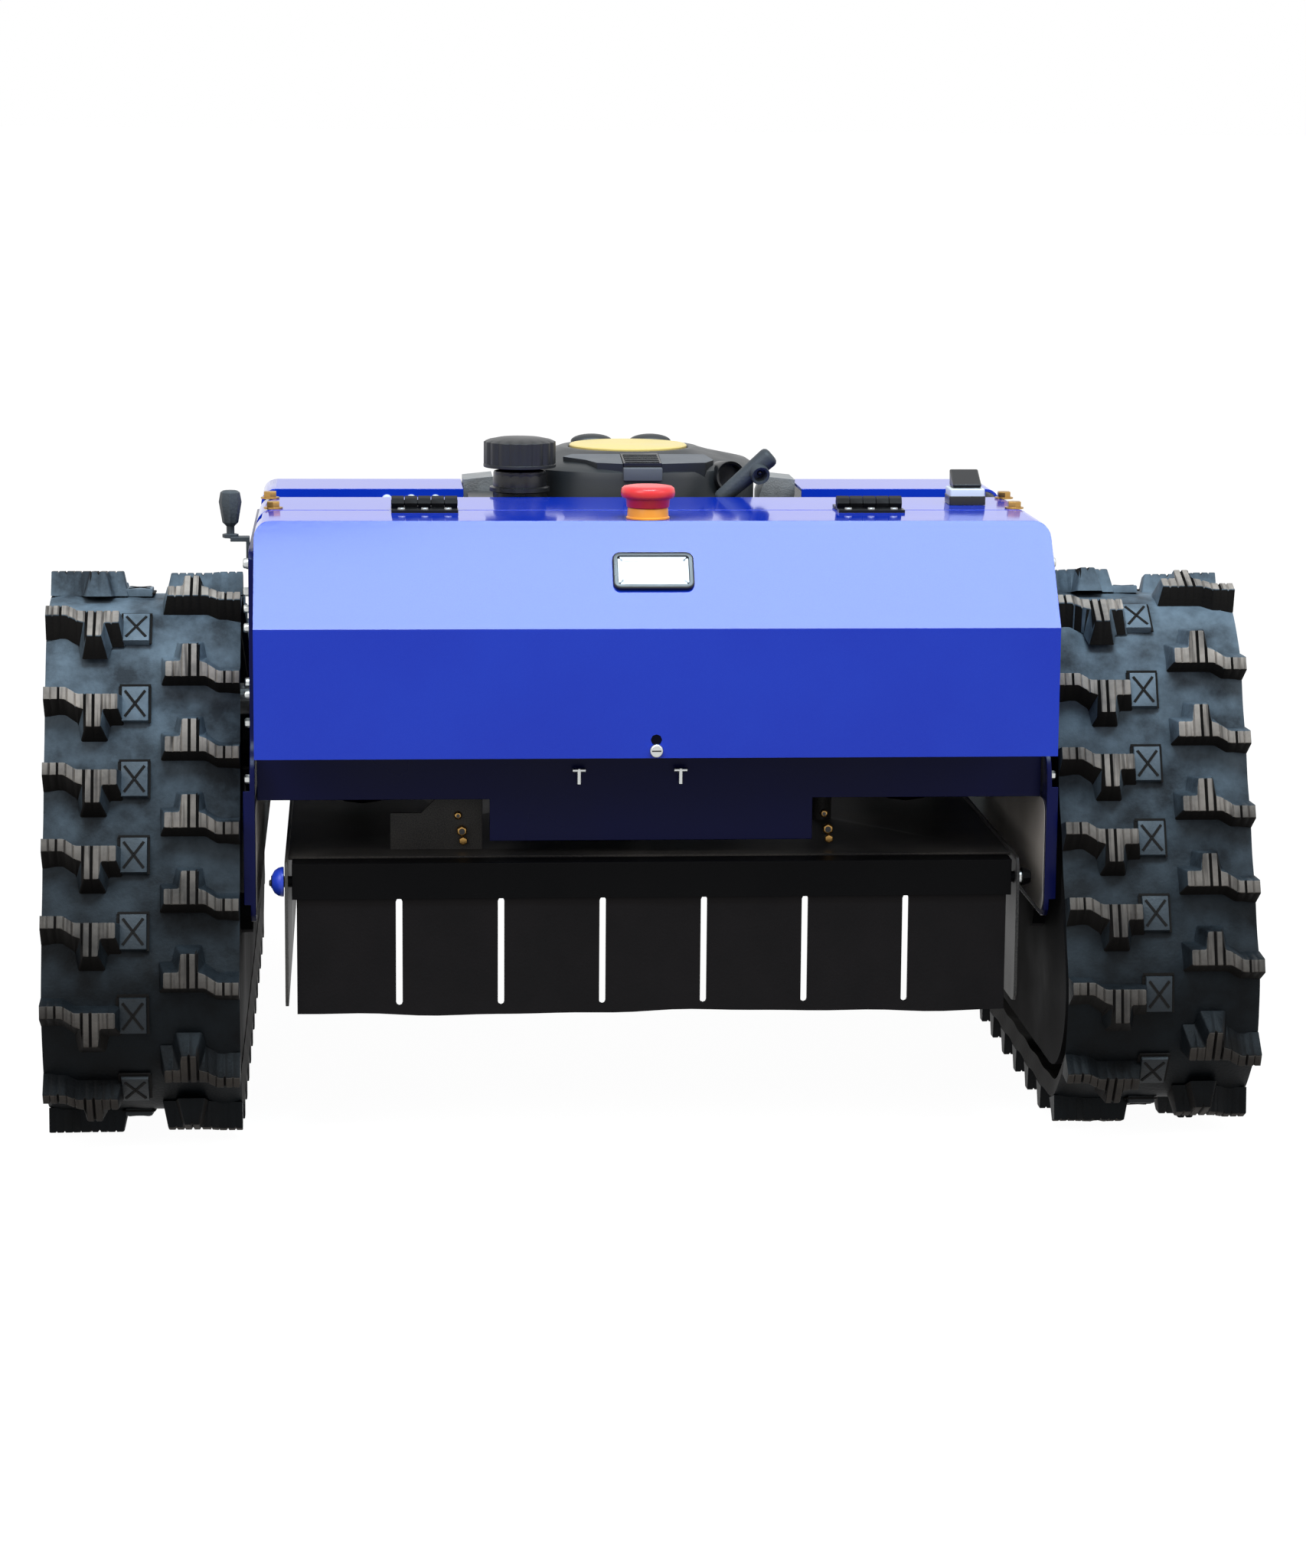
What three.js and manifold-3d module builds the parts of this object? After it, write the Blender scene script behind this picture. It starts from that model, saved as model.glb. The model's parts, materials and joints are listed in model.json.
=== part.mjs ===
// Remote control slope mower: a tracked carrier with a lifting rotary mower deck.
// Millimetres. +X is the right of a viewer who faces the front, +Y runs to the rear, +Z is up.
// Depths are measured back from the fold line of the front cover, heights from the ground.
// Built about the cover's fold, then moved so that the origin lies under the middle of the machine.

import * as THREE from 'three';
import { mergeVertices } from 'three/addons/utils/BufferGeometryUtils.js';
import Module from 'manifold-3d';

const wasm = await Module();
wasm.setup();

// Fits and general sizes
const gap = 0.3;
const overrun = 2;
const weldDepth = 1;
const sheet = 2.5;
const plateThickness = 4;
const bendRadius = 12;
const turn = 2 * Math.PI;
const halfTurn = 180;

// Heights of the body, as measured at a top of 481, follow topHeight above the drop tab
const measuredTopHeight = 481;
const dropTabBottomHeight = 230;

function bodyAt(height) {
  const stretch = (topHeight - dropTabBottomHeight) / (measuredTopHeight - dropTabBottomHeight);
  return dropTabBottomHeight + (height - dropTabBottomHeight) * stretch;
}

// Front cover, a folded sheet hinged at the rear of its top lip
const topHeight = 481;
const coverHalfWidth = 306;
const measuredCoverBottom = 307;
const coverBottomHeight = bodyAt(measuredCoverBottom);
const measuredCoverFold = 406;
const coverFoldHeight = bodyAt(measuredCoverFold);
const coverSlopeDepth = 63;
const coverSeam = 3;
const cheekBackDepth = 106;
const cheekFootDepth = 24;
const cheekRise = 62;
const hingeDepth = 140;
const hingeRadius = 5.5;
const hingePinRadius = 2.4;
const hingeLength = 52;
const hingeLeafDepth = 22;
const hingeLeafThickness = 2;
const hingeOffset = 175;
const hingeKnuckles = 5;

// Fixed top plate and rear cover, open round the engine
const topPlateBackDepth = 238;
const topFlangeHeight = 54;
const rearCoverFrontDepth = 304;
const rearCoverKneeDepth = 387;
const rearCoverSlopeEndDepth = 536;
const measuredRearCoverLow = 392;
const rearCoverLowHeight = bodyAt(measuredRearCoverLow);
const rearCoverBackDepth = 744;
const measuredRearCoverBottom = 282;
const rearCoverBottomHeight = bodyAt(measuredRearCoverBottom);
const rearLipHeight = 26;
const engineBayHalfWidth = 140;
const engineBayBackDepth = 566;

// Chassis side plates
const sidePlateInner = 307;
const sidePlateBottomHeight = 169;
const measuredSidePlateTop = 457;
const sidePlateTopHeight = bodyAt(measuredSidePlateTop);
const sidePlateFrontDepth = 50;
const sidePlateUpperFrontDepth = 76;
const measuredSidePlateShoulder = 290;
const sidePlateShoulderHeight = bodyAt(measuredSidePlateShoulder);
const sidePlateBackDepth = 748;
const sidePlateRearBottomHeight = 212;
const sidePlateRearRun = 54;
const sidePlateRearDrop = 22;
const sidePlateCornerRadius = 16;
const sideFlangeReach = 9;

// Front wall, its drop tab and the battery floor, one bent sheet
const wallDepth = 72;
const measuredWallBottom = 263;
const wallBottomHeight = bodyAt(measuredWallBottom);
const measuredWallTop = 396;
const wallTopHeight = bodyAt(measuredWallTop);
const wallUpperHalfWidth = 301.5;
const measuredWallStep = 300;
const wallStepHeight = bodyAt(measuredWallStep);
const dropTabHalfWidth = 126;
const floorHalfWidth = 186;
const floorSideBackDepth = 110;
const floorBackDepth = 172;
const floorLipHeight = 22;
const wallSideGap = 1.2;

// Deck and its lift
const deckFrontDepth = 69;
const deckBackDepth = 675;
const deckTopHeight = 219;
const deckHalfWidth = 282;
const deckSideBottomHeight = 106;
const deckSideTopHeight = 236;
const deckSideFrontDepth = 34;
const deckSideBackDepth = 712;
const deckSideRise = 26;
const deckBackLipHeight = 180;
const deckBracketDepth = 97;
const deckBracketInner = 131;
const deckBracketOuter = 203;
const deckBracketGap = 3;
const deckBracketStep = 12;
const deckBracketHigh = wallBottomHeight - deckBracketGap;
const deckBracketLow = deckBracketHigh - deckBracketStep;
const postOffset = 150;
const postRadius = 9;
const measuredFrontPostTop = 470;
const frontPostTopHeight = bodyAt(measuredFrontPostTop);
const measuredRearPostTop = 376;
const rearPostTopHeight = bodyAt(measuredRearPostTop);
const frontBeamDepth = 222;
const rearBeamDepth = 620;
const beamDepth = 26;
const beamHeight = 30;
const beamWall = 3;
const sleeveRadius = 13.5;
const measuredFrontBeamBottom = 378;
const frontBeamBottomHeight = bodyAt(measuredFrontBeamBottom);
const measuredFrontSleeveBottom = 326;
const frontSleeveBottomHeight = bodyAt(measuredFrontSleeveBottom);
const rearBeamBottomHeight = 246;
const rearSleeveBottomHeight = 232;
const rearSleeveTopHeight = 284;

// Front and rear flaps with their rubber curtains
const flapRodInset = 47;
const rearFlapRodDepth = 698;
const flapRodHeight = 204;
const flapRodRadius = 4.5;
const flapRodEnd = 289;
const flapHalfWidth = 279;
const flapTopHeight = 219;
const flapBottomHeight = 191;
const flapLipDepth = 15;
const flapCapRadius = 8;
const flapCapLength = 6;
const flapCapTipShare = 0.6;
const curtainHalfWidth = 275.5;
const curtainBottomHeight = 99;
const curtainTopHeight = 199;
const curtainThickness = 4.5;
const curtainPanels = 7;
const slitWidth = 5;
const slitBottomMargin = 7;

// Engine: its heights, as measured at a blower top of 510, follow blowerTopHeight above the deck
const measuredBlowerTopHeight = 510;
const blowerTopHeight = 510;

function engineAt(height) {
  const stretch = (blowerTopHeight - deckTopHeight) / (measuredBlowerTopHeight - deckTopHeight);
  return deckTopHeight + (height - deckTopHeight) * stretch;
}

const engineDepth = 370;
const blowerRadius = 106;
const measuredBlowerBottom = 424;
const blowerBottomHeight = engineAt(measuredBlowerBottom);
const measuredBlowerShoulder = 495;
const blowerShoulderHeight = engineAt(measuredBlowerShoulder);
const blowerTopRadius = 61;
const blowerWall = 4;
const discRadius = 48.5;
const discRecess = 1.5;
const ventCount = 6;
const ventWidth = 12;
const ventLength = 26;
const frontBlockX = 5;
const frontBlockWidth = 30;
const frontBlockProud = 4;
const measuredFrontBlockBottom = 462;
const frontBlockBottomHeight = engineAt(measuredFrontBlockBottom);
const measuredFrontBlockTop = 504;
const frontBlockTopHeight = engineAt(measuredFrontBlockTop);
const ropePortX = 78;
const measuredRopePort = 480;
const ropePortHeight = engineAt(measuredRopePort);
const ropePortRadius = 15;
const ropePortDepth = 266;
const crankcaseRadius = 83;
const measuredCrankcaseTop = 362;
const crankcaseTopHeight = engineAt(measuredCrankcaseTop);
const crankcaseFlangeRadius = 97;
const crankcaseFlangeHeight = 11;
const bearingTowerRadius = 38;
const bearingTowerHeight = 22;
const cylinderRadius = 41;
const measuredCylinder = 297;
const cylinderHeight = engineAt(measuredCylinder);
const cylinderReach = 158;
const finCount = 5;
const finThickness = 3;
const finReach = 14;
const headThickness = 23;
const headHalfWidth = 50;
const earInner = 112;
const earOuter = 139;
const earFrontDepth = 346;
const earBackDepth = 392;
const measuredEarTop = 487;
const earTopHeight = engineAt(measuredEarTop);
const measuredEarShoulder = 472;
const earShoulderHeight = engineAt(measuredEarShoulder);
const measuredEarFoot = 346;
const earFootHeight = engineAt(measuredEarFoot);
const earFootInner = 70;
const earRoom = 8;
const tankInnerX = 42;
const tankOuterX = 137;
const tankFrontDepth = 243;
const tankBackDepth = 338;
const measuredTankBottom = 384;
const tankBottomHeight = engineAt(measuredTankBottom);
const measuredTankTop = 476;
const tankTopHeight = engineAt(measuredTankTop);
const tankCornerRadius = 16;
const capX = -95;
const capDepth = 273;
const neckRadius = 21.5;
const measuredNeckTop = 499;
const neckTopHeight = engineAt(measuredNeckTop);
const fuelCapRadius = 29;
const measuredFuelCapTop = 527;
const fuelCapTopHeight = engineAt(measuredFuelCapTop);
const measuredFuelCapSkirt = 502;
const fuelCapSkirtHeight = engineAt(measuredFuelCapSkirt);
const fuelCapRibs = 12;
const fuelCapRibDepth = 1.5;
const fuelCapRibSteps = 4;
const mufflerX = 96;
const mufflerDepth = 476;
const mufflerRadius = 34;
const mufflerLength = 94;
const measuredMuffler = 322;
const mufflerHeight = engineAt(measuredMuffler);
const mufflerPipeRadius = 11;
const filterX = -90;
const filterDepth = 470;
const filterWidth = 76;
const filterLength = 78;
const filterFinGap = 2;
const filterBlowerGap = 10;
const filterBottomHeight = cylinderHeight + cylinderRadius + finReach + filterFinGap;
const filterHeight = blowerBottomHeight - filterBottomHeight - filterBlowerGap;
const filterCornerRadius = 13;
const handleLowX = 68;
const handleHighX = 108;
const measuredHandleLow = 479;
const handleLowHeight = engineAt(measuredHandleLow);
const measuredHandleHigh = 512;
const handleHighHeight = engineAt(measuredHandleHigh);
const handleRadius = 8;
const handleDepth = engineDepth - blowerRadius - handleRadius;

// Rotor: flywheel, crankshaft, blade holder and blade
const flywheelRadius = 84;
const measuredFlywheelBottom = 396;
const flywheelBottomHeight = engineAt(measuredFlywheelBottom);
const measuredFlywheelTop = 412;
const flywheelTopHeight = engineAt(measuredFlywheelTop);
const measuredFanTop = 452;
const fanTopHeight = engineAt(measuredFanTop);
const fanBlades = 10;
const fanBladeThickness = 3;
const fanInnerRadius = 58;
const crankRadius = 12.5;
const crankBoreRadius = 14;
const holderRadius = 36;
const holderHeight = 26;
const bladeHeight = 130;
const bladeThickness = 5;
const bladeRadius = 268;
const bladeWidth = 60;
const bladeSweep = 190;
const bladeLift = 15;
const bladeBoltRadius = 14;
const bladeBoltHeight = 8;
const crankHoleRadius = 46;

// Tracks
const trackInner = 318.5;
const trackWidth = 150;
const trackPitch = 60;
const trackLinks = 34;
const beltInside = 7;
const beltOutside = 8;
const lugHeight = 17;
const lugRoot = 4;
const lugWidth = 56;
const lugEdgeThickness = 9.5;
const lugThickness = 12;
const lugStep = 5.5;
const lugStepStart = 17;
const lugStepEnd = 26;
const prongCentre = 38;
const prongRootWidth = 15;
const prongTipWidth = 9;
const prongLength = 13.5;
const lugFootShare = 1.06;
const lugFootDropShare = 1.32;
const padWidth = 20.5;
const padLength = 27.5;
const padHeight = 4;
const padOffset = 5.5;
const padShift = 4;
const lugStaggerShare = 0.24;
const leftPhaseShare = 0.34;
const rightPhaseShare = 0.48;
const frontIdlerDepth = 87;
const idlerPitchRadius = 86;
const sprocketDepth = 175;
const sprocketHeight = 327;
const sprocketTeeth = 8;
const roadRollerRadius = 37;
const roadRollers = 3;
const carrierRollerRadius = 34;
const carrierShare = 0.52;
const wheelClearance = 1.4;
const axleClearance = 0.9;
const wheelHalfWidth = 54;
const hubHalfLength = 61;
const hornGroove = 30;
const grooveDepth = 12;
const wheelWeb = 14;
const wheelRim = 10;
const hubRadius = 19;
const axleRadius = 12;
const axleCapRadius = 17;
const axleCapThickness = 4;
const framePlateInner = 321;
const framePlateThickness = 7;
const frameMargin = 13;
const frameStandRadius = 16;
const frameStandRise = 50;
const frameWindowShare = 0.45;
const sprocketDisc = 14;
const toothDepth = 12;
const toothRootShares = [0.08, 0.32];
const toothTipShares = [0.44, 0.76];
const toothFootShare = 0.88;
const arcSteps = 5;
const wheelSides = 16;
const rollerSides = 10;

// Drive motors and worm gearboxes
const motorX = 225;
const motorHeight = 281;
const motorRadius = 54;
const motorFrontDepth = 243;
const motorBackDepth = 426;
const motorCapThickness = 12;
const motorCapRadius = 48;
const wormTubeRadius = 26;
const wormTubeFrontDepth = 124;
const wormWheelRadius = 46;
const wormWheelInner = 198;
const gearboxOuter = 306.4;
const gearboxBossRadius = 38;
const gearboxBossInner = 252;
const driveShaftRadius = 12.5;
const driveShaftBoreRadius = 13.5;
const driveShaftGrip = 34;

// Electrical parts in the front bay
const batteryInner = 52;
const batteryOuter = 186;
const batteryFrontDepth = 82;
const batteryBackDepth = 158;
const batteryRoom = 3;
const batteryHeight = coverFoldHeight - wallBottomHeight - batteryRoom;
const terminalRadius = 6;
const terminalHeight = 8;
const terminalInset = 22;
const controllerHalfWidth = 46;
const controllerFrontDepth = 80;
const controllerBackDepth = 146;
const controllerRoom = 44;
const controllerHeight = batteryHeight - controllerRoom;
const controllerFins = 7;
const controllerFinReach = 10;
const actuatorDepth = 190;
const actuatorRadius = 20;
const actuatorBottomHeight = 330;
const measuredActuatorTop = 462;
const actuatorTopHeight = bodyAt(measuredActuatorTop);
const actuatorMotorRadius = 17;
const actuatorMotorHeight = 82;
const actuatorRodRadius = 8;
const measuredActuatorRodTop = 440;
const actuatorRodTopHeight = bodyAt(measuredActuatorRodTop);
const actuatorFootRadius = 14;
const actuatorFootHeight = 11;

// Controls on the outside
const displayX = -3;
const measuredDisplay = 445;
const displayHeight = bodyAt(measuredDisplay);
const displayWidth = 62;
const displayTall = 33;
const displayProud = 3.6;
const displayCornerRadius = 6;
const displayRim = 3.5;
const stopX = -4;
const stopDepth = 80;
const stopBaseRadius = 16;
const stopBaseHeight = 8.5;
const stopCapRadius = 20.5;
const stopStemRadius = 15;
const stopRise = 26;
const stopTopHeight = topHeight + stopRise;
const stopTravel = 3;
const latchX = -2;
const measuredLatch = 313;
const latchHeight = bodyAt(measuredLatch);
const latchRadius = 5;
const latchHeadLength = 3.6;
const latchStemRadius = 2.3;
const latchStemLength = 11;
const latchHoleRadius = 2.7;
const keyholeRadius = 4.4;
const keyholeRise = 8;
const switchX = 259;
const switchDepth = 174;
const switchWidth = 28;
const switchLength = 28;
const switchBase = 7;
const switchBezel = 6;
const rockerHigh = 13;
const rockerLow = 2.5;
const rockerWidth = 23;
const rockerInset = 2.4;
const antennaX = -326;
const antennaDepth = 135;
const measuredAntennaFoot = 460;
const antennaFootHeight = bodyAt(measuredAntennaFoot);
const antennaRise = 16;
const antennaTopHeight = topHeight + antennaRise;
const antennaRadius = 9;
const antennaNeckRadius = 3.2;
const antennaWaistShare = 0.7;
const antennaBrowShare = 0.85;
const antennaCrownShare = 0.6;
const antennaNut = 3;

const roundSides = 24;
const smallSides = 8;
const finishes = {
  bluePaint: { color: 0x1f3ab4, roughness: 0.25, metalness: 0.1 },
  blackPaint: { color: 0x16161a, roughness: 0.5, metalness: 0.1 },
  rubber: { color: 0x2c3238, roughness: 0.85, metalness: 0 },
  steel: { color: 0xb8bbbd, roughness: 0.35, metalness: 0.9 },
  castAluminium: { color: 0x8d9092, roughness: 0.55, metalness: 0.8 },
  blackPlastic: { color: 0x1b1c1f, roughness: 0.55, metalness: 0 },
  redPlastic: { color: 0xd8202a, roughness: 0.35, metalness: 0 },
  yellowPlastic: { color: 0xf4a11c, roughness: 0.4, metalness: 0 },
};

const machine = new THREE.Group();

// A closed body from a geometry whose seams and axis points are merged
function closed(geometry) {
  const bare = geometry.clone();
  bare.deleteAttribute('normal');
  bare.deleteAttribute('uv');
  const merged = mergeVertices(bare);
  const corners = merged.index.array;
  const kept = [];
  for (let i = 0; i < corners.length; i += 3) {
    const [a, b, c] = [corners[i], corners[i + 1], corners[i + 2]];
    if (a !== b && b !== c && c !== a) kept.push(a, b, c);
  }
  const vertProperties = new Float32Array(merged.attributes.position.array);
  const triVerts = new Uint32Array(kept);
  return new wasm.Manifold(new wasm.Mesh({ numProp: 3, vertProperties, triVerts }));
}

function geometryOf(manifold) {
  const mesh = manifold.getMesh();
  const geometry = new THREE.BufferGeometry();
  geometry.setAttribute('position', new THREE.BufferAttribute(new Float32Array(mesh.vertProperties), 3));
  geometry.setIndex(new THREE.BufferAttribute(new Uint32Array(mesh.triVerts), 1));
  geometry.computeVertexNormals();
  return geometry;
}

function join(first, ...others) {
  return others.reduce((sum, piece) => sum.add(piece), first);
}

function cut(body, ...tools) {
  return tools.reduce((rest, tool) => rest.subtract(tool), body);
}

function place(name, manifold, finish) {
  const mesh = new THREE.Mesh(geometryOf(manifold), new THREE.MeshStandardMaterial(finishes[finish]));
  mesh.name = name;
  machine.add(mesh);
}

// Runs a builder for the left and the right side
function bothSides(build) {
  build(-1, 'left');
  build(1, 'right');
}

// A flat outline through corner points, with its corners rounded when a radius is given
function outline(points, radius = 0) {
  const shape = new THREE.Shape();
  const count = points.length;
  points.forEach(([a, b], i) => {
    const corner = new THREE.Vector2(a, b);
    const before = new THREE.Vector2(...points[(i + count - 1) % count]).sub(corner);
    const after = new THREE.Vector2(...points[(i + 1) % count]).sub(corner);
    const reach = Math.min(radius, before.length() / 2, after.length() / 2);
    const start = corner.clone().add(before.setLength(reach));
    const end = corner.clone().add(after.setLength(reach));
    if (i === 0) shape.moveTo(start.x, start.y);
    else shape.lineTo(start.x, start.y);
    if (radius > 0) shape.quadraticCurveTo(corner.x, corner.y, end.x, end.y);
  });
  shape.closePath();
  return shape;
}

function rectangle(a0, a1, b0, b1, radius = 0) {
  return outline([[a0, b0], [a1, b0], [a1, b1], [a0, b1]], radius);
}

function extruded(shape, length, steps = 3) {
  return new THREE.ExtrudeGeometry(shape, { depth: length, bevelEnabled: false, curveSegments: steps });
}

// An outline in (depth, height), pushed along X between x0 and x1
function alongX(shape, x0, x1, steps) {
  const basis = new THREE.Matrix4().makeBasis(
    new THREE.Vector3(0, 1, 0), new THREE.Vector3(0, 0, 1), new THREE.Vector3(1, 0, 0));
  const geometry = extruded(shape, Math.abs(x1 - x0), steps).applyMatrix4(basis);
  return closed(geometry.translate(Math.min(x0, x1), 0, 0));
}

// An outline in (X, height), pushed along Y between y0 and y1
function alongY(shape, y0, y1, steps) {
  const geometry = extruded(shape, Math.abs(y1 - y0), steps).rotateX(Math.PI / 2);
  return closed(geometry.translate(0, Math.max(y0, y1), 0));
}

// An outline in (X, depth), pushed up from z0 to z1
function upright(shape, z0, z1, steps) {
  return closed(extruded(shape, z1 - z0, steps).translate(0, 0, z0));
}

function block(x0, x1, y0, y1, z0, z1) {
  const geometry = new THREE.BoxGeometry(Math.abs(x1 - x0), Math.abs(y1 - y0), Math.abs(z1 - z0));
  return closed(geometry.translate((x0 + x1) / 2, (y0 + y1) / 2, (z0 + z1) / 2));
}

// A round bar between two points
function bar(from, to, radius, sides = smallSides, endRadius = radius) {
  const start = new THREE.Vector3(...from);
  const end = new THREE.Vector3(...to);
  const run = end.clone().sub(start);
  const geometry = new THREE.CylinderGeometry(endRadius, radius, run.length(), sides);
  geometry.applyQuaternion(new THREE.Quaternion().setFromUnitVectors(
    new THREE.Vector3(0, 1, 0), run.clone().normalize()));
  return closed(geometry.translate(...start.add(end).divideScalar(2).toArray()));
}

// A profile of [radius, place along the axis] turned about X or Z through (x, y, z)
function turned(profile, axis, [x, y, z], sides = roundSides) {
  const points = profile.map(([radius, along]) => new THREE.Vector2(radius, along));
  const geometry = new THREE.LatheGeometry(points, sides);
  if (axis === 'x') geometry.rotateZ(-Math.PI / 2);
  else geometry.rotateX(Math.PI / 2);
  return closed(geometry.translate(x, y, z));
}

// The line that runs the sheet thickness inside a bent line
function offsetLine(line, thickness) {
  const points = line.map(([a, b]) => new THREE.Vector2(a, b));
  const last = points.length - 1;
  return points.map((point, i) => {
    const into = points[Math.max(i, 1)].clone().sub(points[Math.max(i, 1) - 1]).normalize();
    const out = points[Math.min(i + 1, last)].clone().sub(points[Math.min(i, last - 1)]).normalize();
    const inward = new THREE.Vector2(into.y + out.y, -into.x - out.x).normalize();
    const reach = thickness / inward.dot(new THREE.Vector2(into.y, -into.x));
    return point.clone().addScaledVector(inward, reach).toArray();
  });
}

// A cross-section with two rounded upper corners
function archShape(halfWidth, top, radius) {
  const shape = new THREE.Shape();
  shape.moveTo(-halfWidth, 0);
  shape.lineTo(halfWidth, 0);
  shape.absarc(halfWidth - radius, top - radius, radius, 0, Math.PI / 2, false);
  shape.absarc(radius - halfWidth, top - radius, radius, Math.PI / 2, Math.PI, false);
  shape.closePath();
  return shape;
}

// A folded cover: outer body less its inside, both rounded along the two upper edges
function foldedCover(outer, inner) {
  const back = rearCoverBackDepth + bendRadius;
  const skin = alongX(outline(outer), -coverHalfWidth, coverHalfWidth)
    .intersect(alongY(archShape(coverHalfWidth, topHeight, bendRadius), -bendRadius, back));
  const inside = coverHalfWidth - sheet;
  const hollow = alongX(outline(inner), -inside, inside)
    .intersect(alongY(archShape(inside, topHeight - sheet, bendRadius - sheet), -bendRadius, back));
  return skin.subtract(hollow);
}

const hingeHeight = topHeight + hingeRadius + gap;

// The knuckles of one parity and the leaf that carries them; side -1 lies in front of the pin
function hingeHalf(x, parity, side) {
  const low = hingeHeight - hingeRadius;
  const pieces = [];
  for (let i = parity; i < hingeKnuckles; i += 2) {
    const from = x + (i / hingeKnuckles - 0.5) * hingeLength + gap;
    const to = x + ((i + 1) / hingeKnuckles - 0.5) * hingeLength - gap;
    pieces.push(bar([from, hingeDepth, hingeHeight], [to, hingeDepth, hingeHeight], hingeRadius));
    pieces.push(block(from, to, hingeDepth, hingeDepth + side * (hingeRadius + coverSeam),
      low, low + hingeLeafThickness));
  }
  const leaf = block(x - hingeLength / 2, x + hingeLength / 2, hingeDepth + side * (hingeRadius + gap * 2),
    hingeDepth + side * hingeLeafDepth, low, low + hingeLeafThickness);
  return join(leaf, ...pieces);
}

function frontCover() {
  const back = hingeDepth - coverSeam / 2;
  const line = [[0, coverBottomHeight], [0, coverFoldHeight], [coverSlopeDepth, topHeight], [back, topHeight]];
  const cheek = [[cheekBackDepth, topHeight - cheekRise], [cheekFootDepth, coverBottomHeight]];
  const outer = [...line, [back, topHeight - sheet], [cheekBackDepth, topHeight - sheet], ...cheek];
  const inside = offsetLine(line, sheet);
  const inner = [
    [sheet, coverBottomHeight - overrun], inside[1], inside[2],
    [cheekBackDepth + overrun, topHeight - sheet], [cheekBackDepth + overrun, coverBottomHeight - overrun],
  ];
  const flange = block(-coverHalfWidth, coverHalfWidth, 0, cheekFootDepth,
    coverBottomHeight, coverBottomHeight + sheet);
  const holes = [[latchHeight, latchHoleRadius], [latchHeight + keyholeRise, keyholeRadius]].map(([z, radius]) => bar(
    [latchX, -overrun, z], [latchX, sheet + overrun, z], radius));
  const stemSlot = bar([latchX, -overrun, latchHeight], [latchX, cheekFootDepth + overrun, latchHeight],
    latchHoleRadius);
  const shell = cut(join(foldedCover(outer, inner), flange), ...holes, stemSlot);
  const leaves = [-1, 1].map((side) => {
    const x = side * hingeOffset;
    const reach = hingeLength / 2 + overrun;
    const bore = bar([x - reach, hingeDepth, hingeHeight], [x + reach, hingeDepth, hingeHeight],
      hingePinRadius + gap);
    const weld = block(x - hingeLength / 2, x + hingeLength / 2, hingeDepth - hingeLeafDepth,
      hingeDepth - hingeRadius - coverSeam, topHeight - weldDepth, topHeight + weldDepth);
    return join(cut(hingeHalf(x, 1, -1), bore), weld);
  });
  place('front_cover', join(shell, ...leaves), 'bluePaint');
}

function coverHinges() {
  bothSides((side, word) => {
    const x = side * hingeOffset;
    const pin = bar([x - hingeLength / 2, hingeDepth, hingeHeight], [x + hingeLength / 2, hingeDepth, hingeHeight],
      hingePinRadius);
    place(`cover_hinge_${word}`, join(hingeHalf(x, 0, 1), pin), 'blackPaint');
  });
}

function topPlate() {
  const front = hingeDepth + coverSeam / 2;
  const low = topHeight - topFlangeHeight;
  const outer = [[front, low], [front, topHeight], [topPlateBackDepth, topHeight], [topPlateBackDepth, low]];
  const inner = [
    [front - overrun, low - overrun], [front - overrun, topHeight - sheet],
    [topPlateBackDepth + overrun, topHeight - sheet], [topPlateBackDepth + overrun, low - overrun],
  ];
  place('top_plate', foldedCover(outer, inner), 'bluePaint');
}

function rearCover() {
  const line = [
    [rearCoverFrontDepth, topHeight],
    [rearCoverKneeDepth, topHeight],
    [rearCoverSlopeEndDepth, rearCoverLowHeight],
    [rearCoverBackDepth, rearCoverLowHeight],
    [rearCoverBackDepth, rearCoverBottomHeight],
  ];
  const outer = [...line, [rearCoverFrontDepth, topHeight - topFlangeHeight]];
  const [, knee, slopeEnd, corner, foot] = offsetLine(line, sheet);
  const front = rearCoverFrontDepth - overrun;
  const below = rearCoverBottomHeight - overrun;
  const inner = [[front, topHeight - sheet], knee, slopeEnd, corner, [foot[0], below], [front, below]];
  const engineBay = block(-engineBayHalfWidth, engineBayHalfWidth, rearCoverFrontDepth - overrun,
    engineBayBackDepth, rearCoverBottomHeight, topHeight + overrun);
  const lips = [-1, 1].map((side) => block(side * engineBayHalfWidth, side * (coverHalfWidth - bendRadius),
    rearCoverFrontDepth, rearCoverFrontDepth + sheet, topHeight - rearLipHeight, topHeight - weldDepth));
  place('rear_cover', cut(join(foldedCover(outer, inner), ...lips), engineBay), 'bluePaint');
}

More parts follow.
